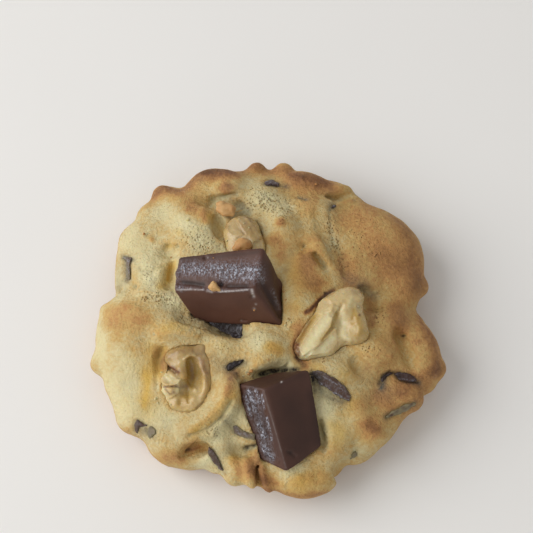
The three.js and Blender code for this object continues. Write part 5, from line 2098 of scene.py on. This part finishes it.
def light_up():
    """Soft studio light: a large key from the left, a weak fill and an even surround."""
    world = bpy.data.worlds.new("surround")
    world.use_nodes = True
    background = world.node_tree.nodes["Background"]
    background.inputs["Color"].default_value = (*STUDIO_TINT, 1.0)
    background.inputs["Strength"].default_value = SURROUND_STRENGTH
    bpy.context.scene.world = world
    for name, way, distance, size, power in LIGHTS:
        data = bpy.data.lights.new(name, "AREA")
        data.shape = "DISK"
        data.size = size
        data.energy = power
        data.color = STUDIO_TINT
        lamp = bpy.data.objects.new(name, data)
        way = Vector(way).normalized()
        lamp.location = way * distance
        lamp.rotation_euler = way.to_track_quat("Z", "Y").to_euler()
        bpy.context.scene.collection.objects.link(lamp)


FLOOR_REACH = 1.5
FLOOR_TONE = linear(239, 237, 234)
FLOOR_LIGHT = linear(241, 239, 236)


def lay_floor():
    """A plain pale floor under the cookie."""
    bm = bmesh.new()
    bmesh.ops.create_grid(bm, x_segments=1, y_segments=1, size=FLOOR_REACH)
    mesh = bpy.data.meshes.new("floor")
    bm.to_mesh(mesh)
    bm.free()
    floor = bpy.data.objects.new("floor", mesh)
    bpy.context.scene.collection.objects.link(floor)
    material, tree, shader, spots = new_material("pale_floor")
    mottle = place_group(tree, MOTTLE, Vector=spots, Size=30.0)
    tone = mix_colour(tree, mottle.outputs["Broad"], FLOOR_TONE, FLOOR_LIGHT)
    tree.links.new(tone, shader.inputs["Base Color"])
    shader.inputs["Roughness"].default_value = 0.9
    shader.inputs["Specular IOR Level"].default_value = 0.1
    mesh.materials.append(material)


def set_camera():
    """The camera of the photograph."""
    data = bpy.data.cameras.new("camera")
    data.sensor_width = SENSOR_WIDTH
    data.lens = FOCAL_PIXELS * SENSOR_WIDTH / PHOTO_SIDE
    data.clip_start = 0.01
    data.clip_end = 10
    camera = bpy.data.objects.new("camera", data)
    camera.location = (CAMERA_PLACE - PLAN_CENTRE) * MM
    camera.rotation_euler = (math.pi / 2 - CAMERA_TILT, 0, 0)
    bpy.context.scene.collection.objects.link(camera)
    bpy.context.scene.camera = camera


set_camera()
light_up()
lay_floor()
bpy.context.scene.view_settings.view_transform = "Standard"

crumb_bed = make_dough()
upper_details = (UPPER_RELIEF, UPPER_BLOOM_AND_GLINTS, UPPER_SCUFF_AND_HIGHLIGHTS, UPPER_SHADE)
lower_details = (LOWER_RELIEF, LOWER_BLOOM_AND_GLINTS, LOWER_SCUFF_AND_HIGHLIGHTS, LOWER_SHADE)
upper = make_chunk("upper_chunk", "chunk_upper", UPPER_CHUNK, upper_details)
lower = make_chunk("lower_chunk", "chunk_lower", LOWER_CHUNK, lower_details)
nuts = [
    make_walnut("walnut_right", "right_walnut", 71),
    make_walnut("walnut_left", "left_walnut", 81),
    make_walnut("walnut_top", "rear_walnut", 91),
]
for index, shard_name in enumerate(SHARDS):
    make_shard(shard_name, index)
for index, crumb_name in enumerate(CRUMBS):
    make_crumb(crumb_name, 101 + 10 * index)

carriers = [crumb_bed, upper, lower, *nuts]
bpy.context.view_layer.update()
pale_tones = {"cream_and_highlight": 0.6, "amber": 0.2, "skin": 0.1}
scatter_crumbs("loose_pale_crumbs", PALE_CRUMBS, carriers, 131, pale_tones, WALNUT)
toasted_tones = {"toast": 0.4}
scatter_crumbs(
    "loose_toasted_crumbs", TOASTED_CRUMBS, carriers, 137, toasted_tones, TOASTED
)
